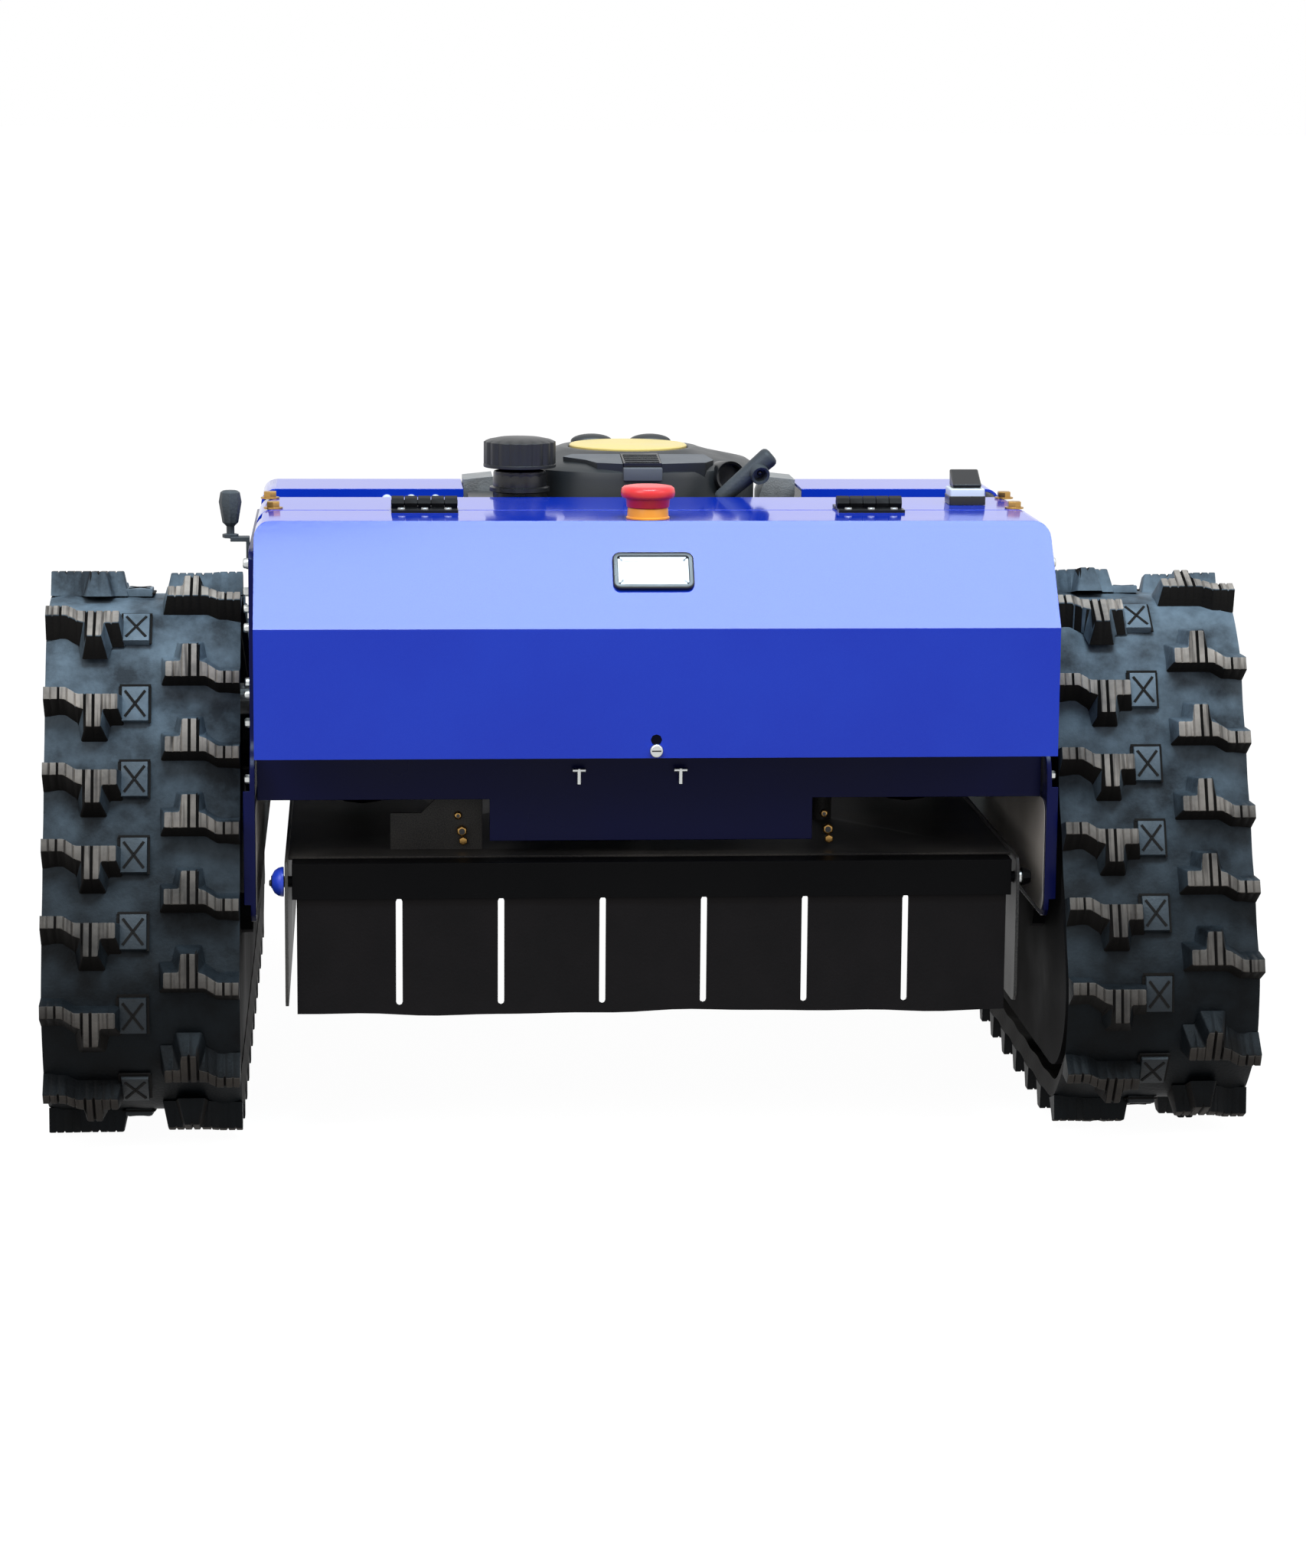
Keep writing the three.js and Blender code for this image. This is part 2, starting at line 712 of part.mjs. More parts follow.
function sidePlates() {
  const rearTop = rearCoverLowHeight - sidePlateRearDrop;
  const shape = outline([
    [sidePlateFrontDepth, sidePlateBottomHeight],
    [sidePlateBackDepth - sidePlateRearRun, sidePlateBottomHeight],
    [sidePlateBackDepth, sidePlateRearBottomHeight],
    [sidePlateBackDepth, rearTop],
    [rearCoverSlopeEndDepth, rearTop],
    [rearCoverKneeDepth, sidePlateTopHeight],
    [sidePlateUpperFrontDepth, sidePlateTopHeight],
    [sidePlateUpperFrontDepth, sidePlateShoulderHeight + sidePlateRearDrop],
    [sidePlateFrontDepth, sidePlateShoulderHeight],
  ], sidePlateCornerRadius);
  bothSides((side, word) => {
    const inner = side * sidePlateInner;
    const outer = side * (sidePlateInner + plateThickness);
    const flange = block(inner, side * (sidePlateInner + sideFlangeReach),
      sidePlateFrontDepth, sidePlateFrontDepth + sheet,
      sidePlateBottomHeight + sidePlateCornerRadius, sidePlateShoulderHeight - sidePlateCornerRadius);
    const shaftHole = bar([inner - side * overrun, sprocketDepth, sprocketHeight],
      [outer + side * overrun, sprocketDepth, sprocketHeight], hubRadius, wheelSides);
    place(`side_plate_${word}`, cut(join(alongX(shape, inner, outer), flange), shaftHole), 'bluePaint');
  });
}

function frontTray() {
  const reach = sidePlateInner - wallSideGap;
  const wall = alongY(outline([
    [-reach, wallBottomHeight],
    [-dropTabHalfWidth, wallBottomHeight],
    [-dropTabHalfWidth, dropTabBottomHeight],
    [dropTabHalfWidth, dropTabBottomHeight],
    [dropTabHalfWidth, wallBottomHeight],
    [reach, wallBottomHeight],
    [reach, wallStepHeight],
    [wallUpperHalfWidth, wallStepHeight],
    [wallUpperHalfWidth, wallTopHeight],
    [-wallUpperHalfWidth, wallTopHeight],
    [-wallUpperHalfWidth, wallStepHeight],
    [-reach, wallStepHeight],
  ]), wallDepth, wallDepth + sheet);
  const floor = upright(outline([
    [-reach, wallDepth],
    [reach, wallDepth],
    [reach, floorSideBackDepth],
    [floorHalfWidth, floorSideBackDepth],
    [floorHalfWidth, floorBackDepth],
    [-floorHalfWidth, floorBackDepth],
    [-floorHalfWidth, floorSideBackDepth],
    [-reach, floorSideBackDepth],
  ]), wallBottomHeight, wallBottomHeight + sheet);
  const lip = block(-floorHalfWidth, floorHalfWidth, floorBackDepth - sheet, floorBackDepth,
    wallBottomHeight, wallBottomHeight + floorLipHeight);
  place('front_tray', join(wall, floor, lip), 'bluePaint');
}

// A channel beam, open below, with a guide sleeve for each post
function guideBeam(name, depth, bottom, sleeveBottom, sleeveTop) {
  const reach = sidePlateInner - wallSideGap;
  const top = bottom + beamHeight;
  const [near, far] = [depth - beamDepth / 2, depth + beamDepth / 2];
  const tube = block(-reach, reach, near, far, bottom, top);
  const hollow = block(-reach - overrun, reach + overrun, near + beamWall, far - beamWall,
    bottom - overrun, top - beamWall);
  const sleeves = [];
  const bores = [];
  [-1, 1].forEach((side) => {
    const x = side * postOffset;
    sleeves.push(bar([x, depth, sleeveBottom], [x, depth, sleeveTop], sleeveRadius, wheelSides));
    bores.push(bar([x, depth, sleeveBottom - overrun], [x, depth, sleeveTop + overrun],
      postRadius + gap, wheelSides));
  });
  place(name, cut(join(cut(tube, hollow), ...sleeves), ...bores), 'blackPaint');
}

function deckShell() {
  const top = block(-deckHalfWidth, deckHalfWidth, deckFrontDepth, deckBackDepth,
    deckTopHeight - sheet, deckTopHeight);
  const sideOutline = outline([
    [deckSideFrontDepth, deckSideBottomHeight],
    [deckSideBackDepth, deckSideBottomHeight],
    [deckSideBackDepth, deckTopHeight],
    [deckBackDepth, deckSideTopHeight],
    [deckSideFrontDepth + deckSideRise, deckSideTopHeight],
    [deckSideFrontDepth, deckTopHeight],
  ], bendRadius);
  const sides = [-1, 1].map((side) => alongX(sideOutline, side * deckHalfWidth, side * (deckHalfWidth + sheet)));
  const backLip = block(-deckHalfWidth, deckHalfWidth, deckBackDepth - sheet, deckBackDepth,
    deckBackLipHeight, deckTopHeight);
  const step = (deckBracketInner + deckBracketOuter) / 2;
  const bracket = alongY(outline([
    [-deckBracketOuter, deckTopHeight - weldDepth],
    [-deckBracketInner, deckTopHeight - weldDepth],
    [-deckBracketInner, deckBracketHigh],
    [-step, deckBracketHigh],
    [-step - deckBracketHigh + deckBracketLow, deckBracketLow],
    [-deckBracketOuter, deckBracketLow],
  ]), deckBracketDepth, deckBracketDepth + sheet);
  const posts = [];
  [[frontBeamDepth, frontPostTopHeight], [rearBeamDepth, rearPostTopHeight]].forEach(([depth, high]) => {
    [-1, 1].forEach((side) => {
      const x = side * postOffset;
      posts.push(bar([x, depth, deckTopHeight - weldDepth], [x, depth, high], postRadius, wheelSides));
    });
  });
  const crankHole = bar([0, engineDepth, deckTopHeight - sheet - overrun],
    [0, engineDepth, deckTopHeight + overrun], crankHoleRadius, wheelSides);
  const reach = deckHalfWidth + sheet + overrun;
  const rodHoles = [flapRodInset, rearFlapRodDepth].map((depth) => bar([-reach, depth, flapRodHeight],
    [reach, depth, flapRodHeight], flapRodRadius / Math.cos(turn / smallSides / 2) + gap));
  place('deck_shell', cut(join(top, ...sides, backLip, bracket, ...posts), crankHole, ...rodHoles), 'blackPaint');
}

// A flap carrier on its rod; facing is -1 at the front and 1 at the rear
function flapCarrier(name, depth, facing) {
  const out = depth + facing * (flapRodRadius + sheet);
  const web = block(-flapHalfWidth, flapHalfWidth, out, out - facing * sheet, flapBottomHeight, flapTopHeight);
  const lip = block(-flapHalfWidth, flapHalfWidth, out, depth - facing * flapLipDepth,
    flapTopHeight - sheet, flapTopHeight);
  const rod = bar([-flapRodEnd, depth, flapRodHeight], [flapRodEnd, depth, flapRodHeight], flapRodRadius);
  const lugs = [-1, 0, 1].map((share) => {
    const x = share * (flapHalfWidth - sheet);
    return block(x - sheet, x + sheet, out, depth, flapRodHeight - flapRodRadius / 2, flapTopHeight - weldDepth);
  });
  const caps = [-1, 1].map((side) => bar([side * (flapRodEnd - weldDepth), depth, flapRodHeight],
    [side * (flapRodEnd + flapCapLength), depth, flapRodHeight], flapCapRadius, smallSides,
    flapCapRadius * flapCapTipShare));
  place(name, join(web, lip, rod, ...lugs, ...caps), 'blackPaint');
}

// A rubber curtain clamped behind the web, with closed slits between its panels
function curtain(name, depth, facing) {
  const front = depth + facing * (flapRodRadius - gap);
  const shape = rectangle(-curtainHalfWidth, curtainHalfWidth, curtainBottomHeight, curtainTopHeight);
  const panelWidth = curtainHalfWidth * 2 / curtainPanels;
  const low = curtainBottomHeight + slitBottomMargin + slitWidth / 2;
  const high = flapBottomHeight - slitWidth / 2;
  for (let i = 1; i < curtainPanels; i += 1) {
    const centre = i * panelWidth - curtainHalfWidth;
    const slit = new THREE.Path();
    slit.absarc(centre, low, slitWidth / 2, Math.PI, turn, false);
    slit.absarc(centre, high, slitWidth / 2, 0, Math.PI, false);
    shape.holes.push(slit);
  }
  place(name, alongY(shape, front, front - facing * curtainThickness, 2), 'rubber');
}

// Wheels that the belt runs round, in the order front idler, drive sprocket, rear idler
function trackWheels(rearDepth) {
  const idlerHeight = lugHeight + beltOutside + idlerPitchRadius;
  return [
    { y: frontIdlerDepth, z: idlerHeight, r: idlerPitchRadius },
    { y: sprocketDepth, z: sprocketHeight, r: sprocketTeeth * trackPitch / turn },
    { y: rearDepth, z: idlerHeight, r: idlerPitchRadius },
  ];
}

// The straight run between two wheels: the angle of its outward normal, and its length
function runBetween(from, to) {
  const [dy, dz] = [to.y - from.y, to.z - from.z];
  const distance = Math.hypot(dy, dz);
  const tilt = Math.asin((from.r - to.r) / distance);
  return { normal: Math.atan2(dz, dy) + Math.PI / 2 - tilt, length: distance * Math.cos(tilt) };
}

// The pitch line of the belt, clockwise as seen from +X
function trackPath(rearDepth) {
  const wheels = trackWheels(rearDepth);
  const count = wheels.length;
  const runs = wheels.map((wheel, i) => runBetween(wheel, wheels[(i + 1) % count]));
  const pieces = wheels.map((wheel, i) => {
    const arrive = runs[(i + count - 1) % count].normal;
    const sweep = (((arrive - runs[i].normal) % turn) + turn) % turn;
    return { wheel, arrive, leave: arrive - sweep, run: runs[i], arc: sweep * wheel.r };
  });
  const length = pieces.reduce((sum, piece) => sum + piece.arc + piece.run.length, 0);
  return { pieces, length };
}

// The rear idler sits where a belt of whole links is just tight
function tightRearDepth() {
  let [near, far] = [sprocketDepth, sprocketDepth + trackPitch * trackLinks / 2];
  while (far - near > gap / trackPitch) {
    const middle = (near + far) / 2;
    if (trackPath(middle).length < trackPitch * trackLinks) near = middle;
    else far = middle;
  }
  return (near + far) / 2;
}

const path = trackPath(tightRearDepth());
const [frontIdler, driveWheel, rearIdler] = path.pieces.map((piece) => piece.wheel);

// The place on the pitch line at a distance along it, and the angle of its outward normal
function pathPoint(distance) {
  let left = ((distance % path.length) + path.length) % path.length;
  for (const { wheel, arrive, leave, run, arc } of path.pieces) {
    if (left <= arc) {
      const angle = arrive - left / wheel.r;
      return { y: wheel.y + wheel.r * Math.cos(angle), z: wheel.z + wheel.r * Math.sin(angle), angle };
    }
    left -= arc;
    if (left <= run.length) {
      const y = wheel.y + wheel.r * Math.cos(leave) + left * Math.sin(leave);
      const z = wheel.z + wheel.r * Math.sin(leave) - left * Math.cos(leave);
      return { y, z, angle: leave };
    }
    left -= run.length;
  }
  return pathPoint(0);
}

// Corner points, anticlockwise, of the loop that runs an offset outside the pitch line
function beltLoop(offset) {
  const loop = new THREE.Path();
  path.pieces.forEach(({ wheel, arrive, leave }) => {
    loop.absarc(wheel.y, wheel.z, wheel.r + offset, arrive, leave, true);
  });
  return loop.getPoints(arcSteps).reverse();
}

// A stepped lug with a prong, seen from outside; x runs from the edge of the belt, y up the front
function lugOutline() {
  const low = -lugStep - lugThickness;
  const [rootHalf, tipHalf] = [prongRootWidth / 2, prongTipWidth / 2];
  return outline([
    [0, 0],
    [0, -lugEdgeThickness],
    [lugStepStart, -lugEdgeThickness],
    [prongCentre - rootHalf, low],
    [prongCentre - tipHalf, low - prongLength],
    [prongCentre + tipHalf, low - prongLength],
    [prongCentre + rootHalf, low],
    [lugWidth, low],
    [lugWidth, -lugStep],
    [lugStepEnd, -lugStep],
    [lugStepStart, 0],
  ]);
}

// Moves a geometry drawn on the flat belt (x across, y along, z out) to its place on the loop
function ontoBelt(geometry, distance) {
  const { y, z, angle } = pathPoint(distance);
  const across = new THREE.Vector3(1, 0, 0);
  const out = new THREE.Vector3(0, Math.cos(angle), Math.sin(angle));
  const frame = new THREE.Matrix4().makeBasis(across, out.clone().cross(across), out);
  return closed(geometry.applyMatrix4(frame.setPosition(0, y, z)));
}

// Widens the foot of a lug away from the edge of the belt and, for a sloping flank, down the front
function footed(geometry) {
  geometry.computeBoundingBox();
  const { min, max } = geometry.boundingBox;
  const spots = geometry.attributes.position;
  for (let i = 0; i < spots.count; i += 1) {
    if (spots.getZ(i) > (min.z + max.z) / 2) continue;
    spots.setX(i, min.x + (spots.getX(i) - min.x) * lugFootShare);
    spots.setY(i, max.y + (spots.getY(i) - max.y) * lugFootDropShare);
  }
  return geometry;
}

// The low pads between the two columns of lugs
function pads(phaseShare) {
  const across = rectangle(-padOffset - padWidth / 2, padWidth / 2 - padOffset,
    -padShift - padLength / 2, padLength / 2 - padShift);
  return Array.from({ length: trackLinks }, (_, i) => ontoBelt(
    extruded(across, padHeight + lugRoot).translate(0, 0, beltOutside - lugRoot), (i + phaseShare) * trackPitch));
}

// The two columns of lugs, turned against each other, for a belt that has run on by a share of a link
function lugColumns(phaseShare) {
  const lugs = [];
  for (let i = 0; i < trackLinks; i += 1) {
    [0, lugStaggerShare].forEach((stagger) => {
      const lug = footed(extruded(lugOutline(), lugHeight + lugRoot));
      lug.translate(-trackWidth / 2, lugThickness / 2, beltOutside - lugRoot);
      if (stagger > 0) lug.rotateZ(Math.PI);
      lugs.push(ontoBelt(lug, (i + phaseShare + stagger) * trackPitch));
    });
  }
  return lugs;
}

// A closed belt with its lugs, those on the ground worn flat
function rubberTracks() {
  const ring = new THREE.Shape(beltLoop(beltOutside));
  ring.holes.push(new THREE.Path(beltLoop(-beltInside)));
  const carcass = alongX(ring, -trackWidth / 2, trackWidth / 2);
  bothSides((side, word) => {
    const phaseShare = side < 0 ? leftPhaseShare : rightPhaseShare;
    const belt = join(carcass, ...lugColumns(phaseShare), ...pads(phaseShare)).trimByPlane([0, 0, 1], 0);
    place(`rubber_track_${word}`, belt.translate([side * (trackInner + trackWidth / 2), 0, 0]), 'rubber');
  });
}

// A bored wheel with two rims and a groove for the guide horns between them
function doubleWheel(radius, { y, z }, side, sides = wheelSides) {
  const inside = Math.max(radius - grooveDepth - wheelRim, hubRadius + weldDepth);
  const bore = axleRadius + axleClearance;
  const half = [
    [bore, hubHalfLength],
    [hubRadius, hubHalfLength],
    [inside, wheelWeb / 2],
    [radius - wheelRim / 2, wheelHalfWidth],
    [radius, wheelHalfWidth],
    [radius, hornGroove / 2],
    [radius - grooveDepth, hornGroove / 2],
  ];
  const other = half.map(([r, along]) => [r, -along]);
  const profile = [...other, ...half.reverse(), [bore, -hubHalfLength]];
  return turned(profile, 'x', [side * (trackInner + trackWidth / 2), y, z], sides);
}

// Two toothed discs either side of the horn groove on one hub and shaft
function sprocket(side) {
  const { y: cy, z: cz, r } = driveWheel;
  const tip = r - beltInside - wheelClearance;
  const root = tip - toothDepth;
  const shape = new THREE.Shape();
  const flanks = [...toothRootShares.map((share) => [root, share]), ...toothTipShares.map((share) => [tip, share]),
    [root, toothFootShare]];
  for (let i = 0; i < sprocketTeeth; i += 1) {
    flanks.forEach(([radius, share], j) => {
      const angle = (i + share) * turn / sprocketTeeth;
      const point = [cy + radius * Math.cos(angle), cz + radius * Math.sin(angle)];
      if (i === 0 && j === 0) shape.moveTo(...point);
      else shape.lineTo(...point);
    });
  }
  shape.closePath();
  const centre = side * (trackInner + trackWidth / 2);
  const discs = [-1, 1].map((way) => {
    const near = centre + way * hornGroove / 2;
    return alongX(shape, near, near + way * sprocketDisc);
  });
  const drumReach = hornGroove / 2 + sprocketDisc / 2;
  const drum = bar([centre - drumReach, cy, cz], [centre + drumReach, cy, cz], tip - grooveDepth, wheelSides);
  const start = side * (gearboxOuter - driveShaftGrip);
  const shaft = bar([start, cy, cz], [centre + side * hubHalfLength, cy, cz], driveShaftRadius, wheelSides);
  const hub = bar([centre - hubHalfLength, cy, cz], [centre + hubHalfLength, cy, cz], hubRadius - wheelRim / 2,
    wheelSides);
  return join(discs[0], discs[1], drum, hub, shaft);
}

// Centres of the wheels that carry the machine on the bottom run
function roadRollerCentres() {
  const z = lugHeight + beltOutside + beltInside + wheelClearance + roadRollerRadius;
  const apart = idlerPitchRadius - beltInside + roadRollerRadius + frameMargin;
  const reach = Math.sqrt(apart ** 2 - (frontIdler.z - z) ** 2);
  const [first, last] = [frontIdler.y + reach, rearIdler.y - reach];
  return Array.from({ length: roadRollers }, (_, i) => ({ y: first + (last - first) * i / (roadRollers - 1), z }));
}

// Centre of the small wheel that holds up the top run
function carrierCentre() {
  const { run, arc } = path.pieces[1];
  const start = path.pieces[0].arc + path.pieces[0].run.length + arc;
  const { y, z, angle } = pathPoint(start + run.length * carrierShare);
  const inward = beltInside + wheelClearance + carrierRollerRadius;
  return { y: y - inward * Math.cos(angle), z: z - inward * Math.sin(angle) };
}

function runningWheels() {
  const idlerRadius = idlerPitchRadius - beltInside - wheelClearance;
  bothSides((side, word) => {
    place(`front_idler_${word}`, doubleWheel(idlerRadius, frontIdler, side), 'blackPaint');
    place(`rear_idler_${word}`, doubleWheel(idlerRadius, rearIdler, side), 'blackPaint');
    place(`carrier_roller_${word}`, doubleWheel(carrierRollerRadius, carrierCentre(), side, rollerSides),
      'blackPaint');
    roadRollerCentres().forEach((centre, i) => {
      place(`road_roller_${i + 1}_${word}`, doubleWheel(roadRollerRadius, centre, side, rollerSides), 'blackPaint');
    });
    place(`drive_sprocket_${word}`, sprocket(side), 'steel');
  });
}

// The plate inside the belt with an axle for each running wheel
function trackFrames() {
  const rim = new THREE.Shape(beltLoop(-beltInside - frameMargin));
  const wheels = [frontIdler, driveWheel, rearIdler];
  const axles = [frontIdler, rearIdler, carrierCentre(), ...roadRollerCentres()];
  const middleY = wheels.reduce((sum, wheel) => sum + wheel.y, 0) / wheels.length;
  const middleZ = wheels.reduce((sum, wheel) => sum + wheel.z, 0) / wheels.length;
  const windowShape = outline(wheels.map(({ y, z }) => [
    middleY + (y - middleY) * frameWindowShare,
    middleZ + (z - middleZ) * frameWindowShare,
  ]), frameStandRadius);
  bothSides((side, word) => {
    const near = side * framePlateInner;
    const far = side * (framePlateInner + framePlateThickness);
    const centre = side * (trackInner + trackWidth / 2);
    const capStart = centre + side * (hubHalfLength + gap);
    const plate = alongX(rim, near, far);
    const window = alongX(windowShape, near - side * overrun, far + side * overrun);
    const shaftHole = bar([near - side * overrun, driveWheel.y, driveWheel.z],
      [far + side * overrun, driveWheel.y, driveWheel.z], hubRadius, wheelSides);
    const pins = axles.map(({ y, z }) => join(
      bar([near, y, z], [capStart + side * axleCapThickness / 2, y, z], axleRadius),
      bar([capStart, y, z], [capStart + side * axleCapThickness, y, z], axleCapRadius)));
    const stands = wheels.map((wheel, i) => {
      const y = wheel.y + Math.sign(middleY - wheel.y) * frameStandRise;
      const z = wheel.z + (i === 1 ? -frameStandRise : frameStandRise);
      return bar([side * (sidePlateInner + plateThickness + gap), y, z], [near + side * weldDepth, y, z],
        frameStandRadius);
    });
    place(`track_frame_${word}`, join(cut(plate, window, shaftHole), ...pins, ...stands), 'blackPaint');
  });
}

function driveUnits() {
  bothSides((side, word) => {
    const x = side * motorX;
    const shoulder = motorFrontDepth + motorCapThickness;
    const body = bar([x, shoulder, motorHeight], [x, motorBackDepth, motorHeight], motorRadius, roundSides);
    const cap = bar([x, shoulder + weldDepth, motorHeight], [x, motorFrontDepth, motorHeight],
      motorRadius, roundSides, motorCapRadius);
    place(`drive_motor_${word}`, join(body, cap), 'blackPlastic');
    const worm = bar([x, wormTubeFrontDepth, motorHeight], [x, motorFrontDepth - gap, motorHeight],
      wormTubeRadius, wheelSides);
    const wheel = bar([side * wormWheelInner, sprocketDepth, sprocketHeight],
      [side * gearboxBossInner, sprocketDepth, sprocketHeight], wormWheelRadius, roundSides);
    const boss = bar([side * (gearboxBossInner - weldDepth), sprocketDepth, sprocketHeight],
      [side * gearboxOuter, sprocketDepth, sprocketHeight], gearboxBossRadius, wheelSides);
    const bore = bar([side * (gearboxOuter - driveShaftGrip - gap), sprocketDepth, sprocketHeight],
      [side * (gearboxOuter + overrun), sprocketDepth, sprocketHeight], driveShaftBoreRadius, wheelSides);
    place(`gearbox_${word}`, cut(join(worm, wheel, boss), bore), 'castAluminium');
  });
}

function crankcase() {
  const base = deckTopHeight + gap;
  const top = crankcaseTopHeight + bearingTowerHeight;
  const far = engineDepth + cylinderReach;
  const housing = turned([
    [0, base],
    [crankcaseFlangeRadius, base],
    [crankcaseFlangeRadius, base + crankcaseFlangeHeight],
    [crankcaseRadius, base + crankcaseFlangeHeight * 2],
    [crankcaseRadius, crankcaseTopHeight],
    [bearingTowerRadius, top],
    [0, top],
  ], 'z', [0, engineDepth, 0]);
  const barrel = bar([0, engineDepth, cylinderHeight], [0, far, cylinderHeight], cylinderRadius, wheelSides);
  const finReachFull = cylinderRadius + finReach;
  const finStart = engineDepth + crankcaseRadius + finThickness;
  const finPitch = (far - headThickness - finStart) / finCount;
  const fins = Array.from({ length: finCount }, (_, i) => block(-finReachFull, finReachFull,
    finStart + i * finPitch, finStart + i * finPitch + finThickness,
    cylinderHeight - finReachFull, cylinderHeight + finReachFull));
  const head = block(-headHalfWidth, headHalfWidth, far - headThickness, far,
    cylinderHeight - headHalfWidth, cylinderHeight + headHalfWidth);
  const ears = [-1, 1].map((side) => alongY(outline([
    [side * earFootInner, earFootHeight],
    [side * earInner, earFootHeight],
    [side * earOuter, earShoulderHeight],
    [side * earOuter, earTopHeight - sheet],
    [side * (earInner + sheet), earTopHeight],
    [side * (earInner - sheet), earShoulderHeight],
    [side * (earInner - sheet), blowerBottomHeight - earRoom],
  ]), earFrontDepth, earBackDepth));
  const crankBore = bar([0, engineDepth, base - overrun], [0, engineDepth, top + overrun],
    crankBoreRadius, wheelSides);
  place('crankcase', cut(join(housing, barrel, ...fins, head, ...ears), crankBore), 'castAluminium');
}

function blowerHousing() {
  const ceiling = blowerTopHeight - discRecess - blowerWall;
  const dome = turned([
    [blowerRadius, blowerBottomHeight],
    [blowerRadius, blowerShoulderHeight],
    [blowerTopRadius, blowerTopHeight],
    [discRadius, blowerTopHeight],
    [discRadius, blowerTopHeight - discRecess],
    [0, blowerTopHeight - discRecess],
    [0, ceiling],
    [blowerTopRadius, ceiling],
    [blowerRadius - blowerWall, blowerShoulderHeight - blowerWall],
    [blowerRadius - blowerWall, blowerBottomHeight],
    [blowerRadius, blowerBottomHeight],
  ], 'z', [0, engineDepth, 0]);
  const frontBlock = block(frontBlockX - frontBlockWidth / 2, frontBlockX + frontBlockWidth / 2,
    engineDepth - blowerRadius - frontBlockProud, engineDepth - blowerTopRadius - blowerWall,
    frontBlockBottomHeight, frontBlockTopHeight);
  const ropePort = bar([ropePortX, ropePortDepth, ropePortHeight],
    [ropePortX, engineDepth - blowerTopRadius, ropePortHeight], ropePortRadius);
  const cavity = turned([
    [0, blowerBottomHeight - overrun],
    [blowerRadius - blowerWall, blowerBottomHeight - overrun],
    [blowerRadius - blowerWall, blowerShoulderHeight - blowerWall],
    [blowerTopRadius, ceiling],
    [0, ceiling],
  ], 'z', [0, engineDepth, 0]);
  const vents = [];
  for (let i = 0; i < ventCount; i += 1) {
    const middle = (blowerRadius + blowerTopRadius) / 2;
    const vent = block(-ventWidth / 2, ventWidth / 2, middle - ventLength / 2, middle + ventLength / 2,
      blowerShoulderHeight - blowerWall, blowerTopHeight + overrun);
    const degrees = (i + 0.5) * halfTurn / ventCount - halfTurn / 2;
    vents.push(vent.rotate([0, 0, degrees]).translate([0, engineDepth, 0]));
  }
  place('blower_housing', cut(join(dome, frontBlock, ropePort), cavity, ...vents), 'blackPlastic');
}

function fuelTank() {
  const shape = rectangle(-tankOuterX, -tankInnerX, tankFrontDepth, tankBackDepth, tankCornerRadius);
  const body = upright(shape, tankBottomHeight, tankTopHeight);
  const neck = bar([capX, capDepth, tankTopHeight - weldDepth], [capX, capDepth, neckTopHeight],
    neckRadius, wheelSides);
  const blowerRoom = bar([0, engineDepth, tankBottomHeight - overrun], [0, engineDepth, neckTopHeight + overrun],
    blowerRadius + coverSeam, roundSides);
  place('fuel_tank', cut(join(body, neck), blowerRoom), 'blackPlastic');
}

function fuelCap() {
  const shape = new THREE.Shape();
  const steps = fuelCapRibs * fuelCapRibSteps;
  for (let i = 0; i < steps; i += 1) {
    const angle = i * turn / steps;
    const radius = fuelCapRadius - (i % fuelCapRibSteps === 0 ? fuelCapRibDepth : 0);
    const point = [capX + radius * Math.cos(angle), capDepth + radius * Math.sin(angle)];
    if (i === 0) shape.moveTo(...point);
    else shape.lineTo(...point);
  }
  shape.closePath();
  place('fuel_cap', upright(shape, fuelCapSkirtHeight, fuelCapTopHeight), 'blackPlastic');
}

function engineExtras() {
  const pipeDepth = mufflerDepth + mufflerLength / 2 - mufflerPipeRadius * 2;
  const can = bar([mufflerX, mufflerDepth - mufflerLength / 2, mufflerHeight],
    [mufflerX, mufflerDepth + mufflerLength / 2, mufflerHeight], mufflerRadius, wheelSides);
  const pipe = bar([mufflerX, pipeDepth, mufflerHeight],
    [mufflerX, pipeDepth, mufflerHeight + mufflerRadius + mufflerPipeRadius], mufflerPipeRadius);
  place('muffler', join(can, pipe), 'steel');
  const filter = rectangle(filterX - filterWidth / 2, filterX + filterWidth / 2,
    filterDepth - filterLength / 2, filterDepth + filterLength / 2, filterCornerRadius);
  place('air_filter', upright(filter, filterBottomHeight, filterBottomHeight + filterHeight), 'blackPlastic');
  const handle = bar([handleLowX, handleDepth, handleLowHeight], [handleHighX, handleDepth, handleHighHeight],
    handleRadius);
  place('recoil_handle', handle, 'rubber');
}

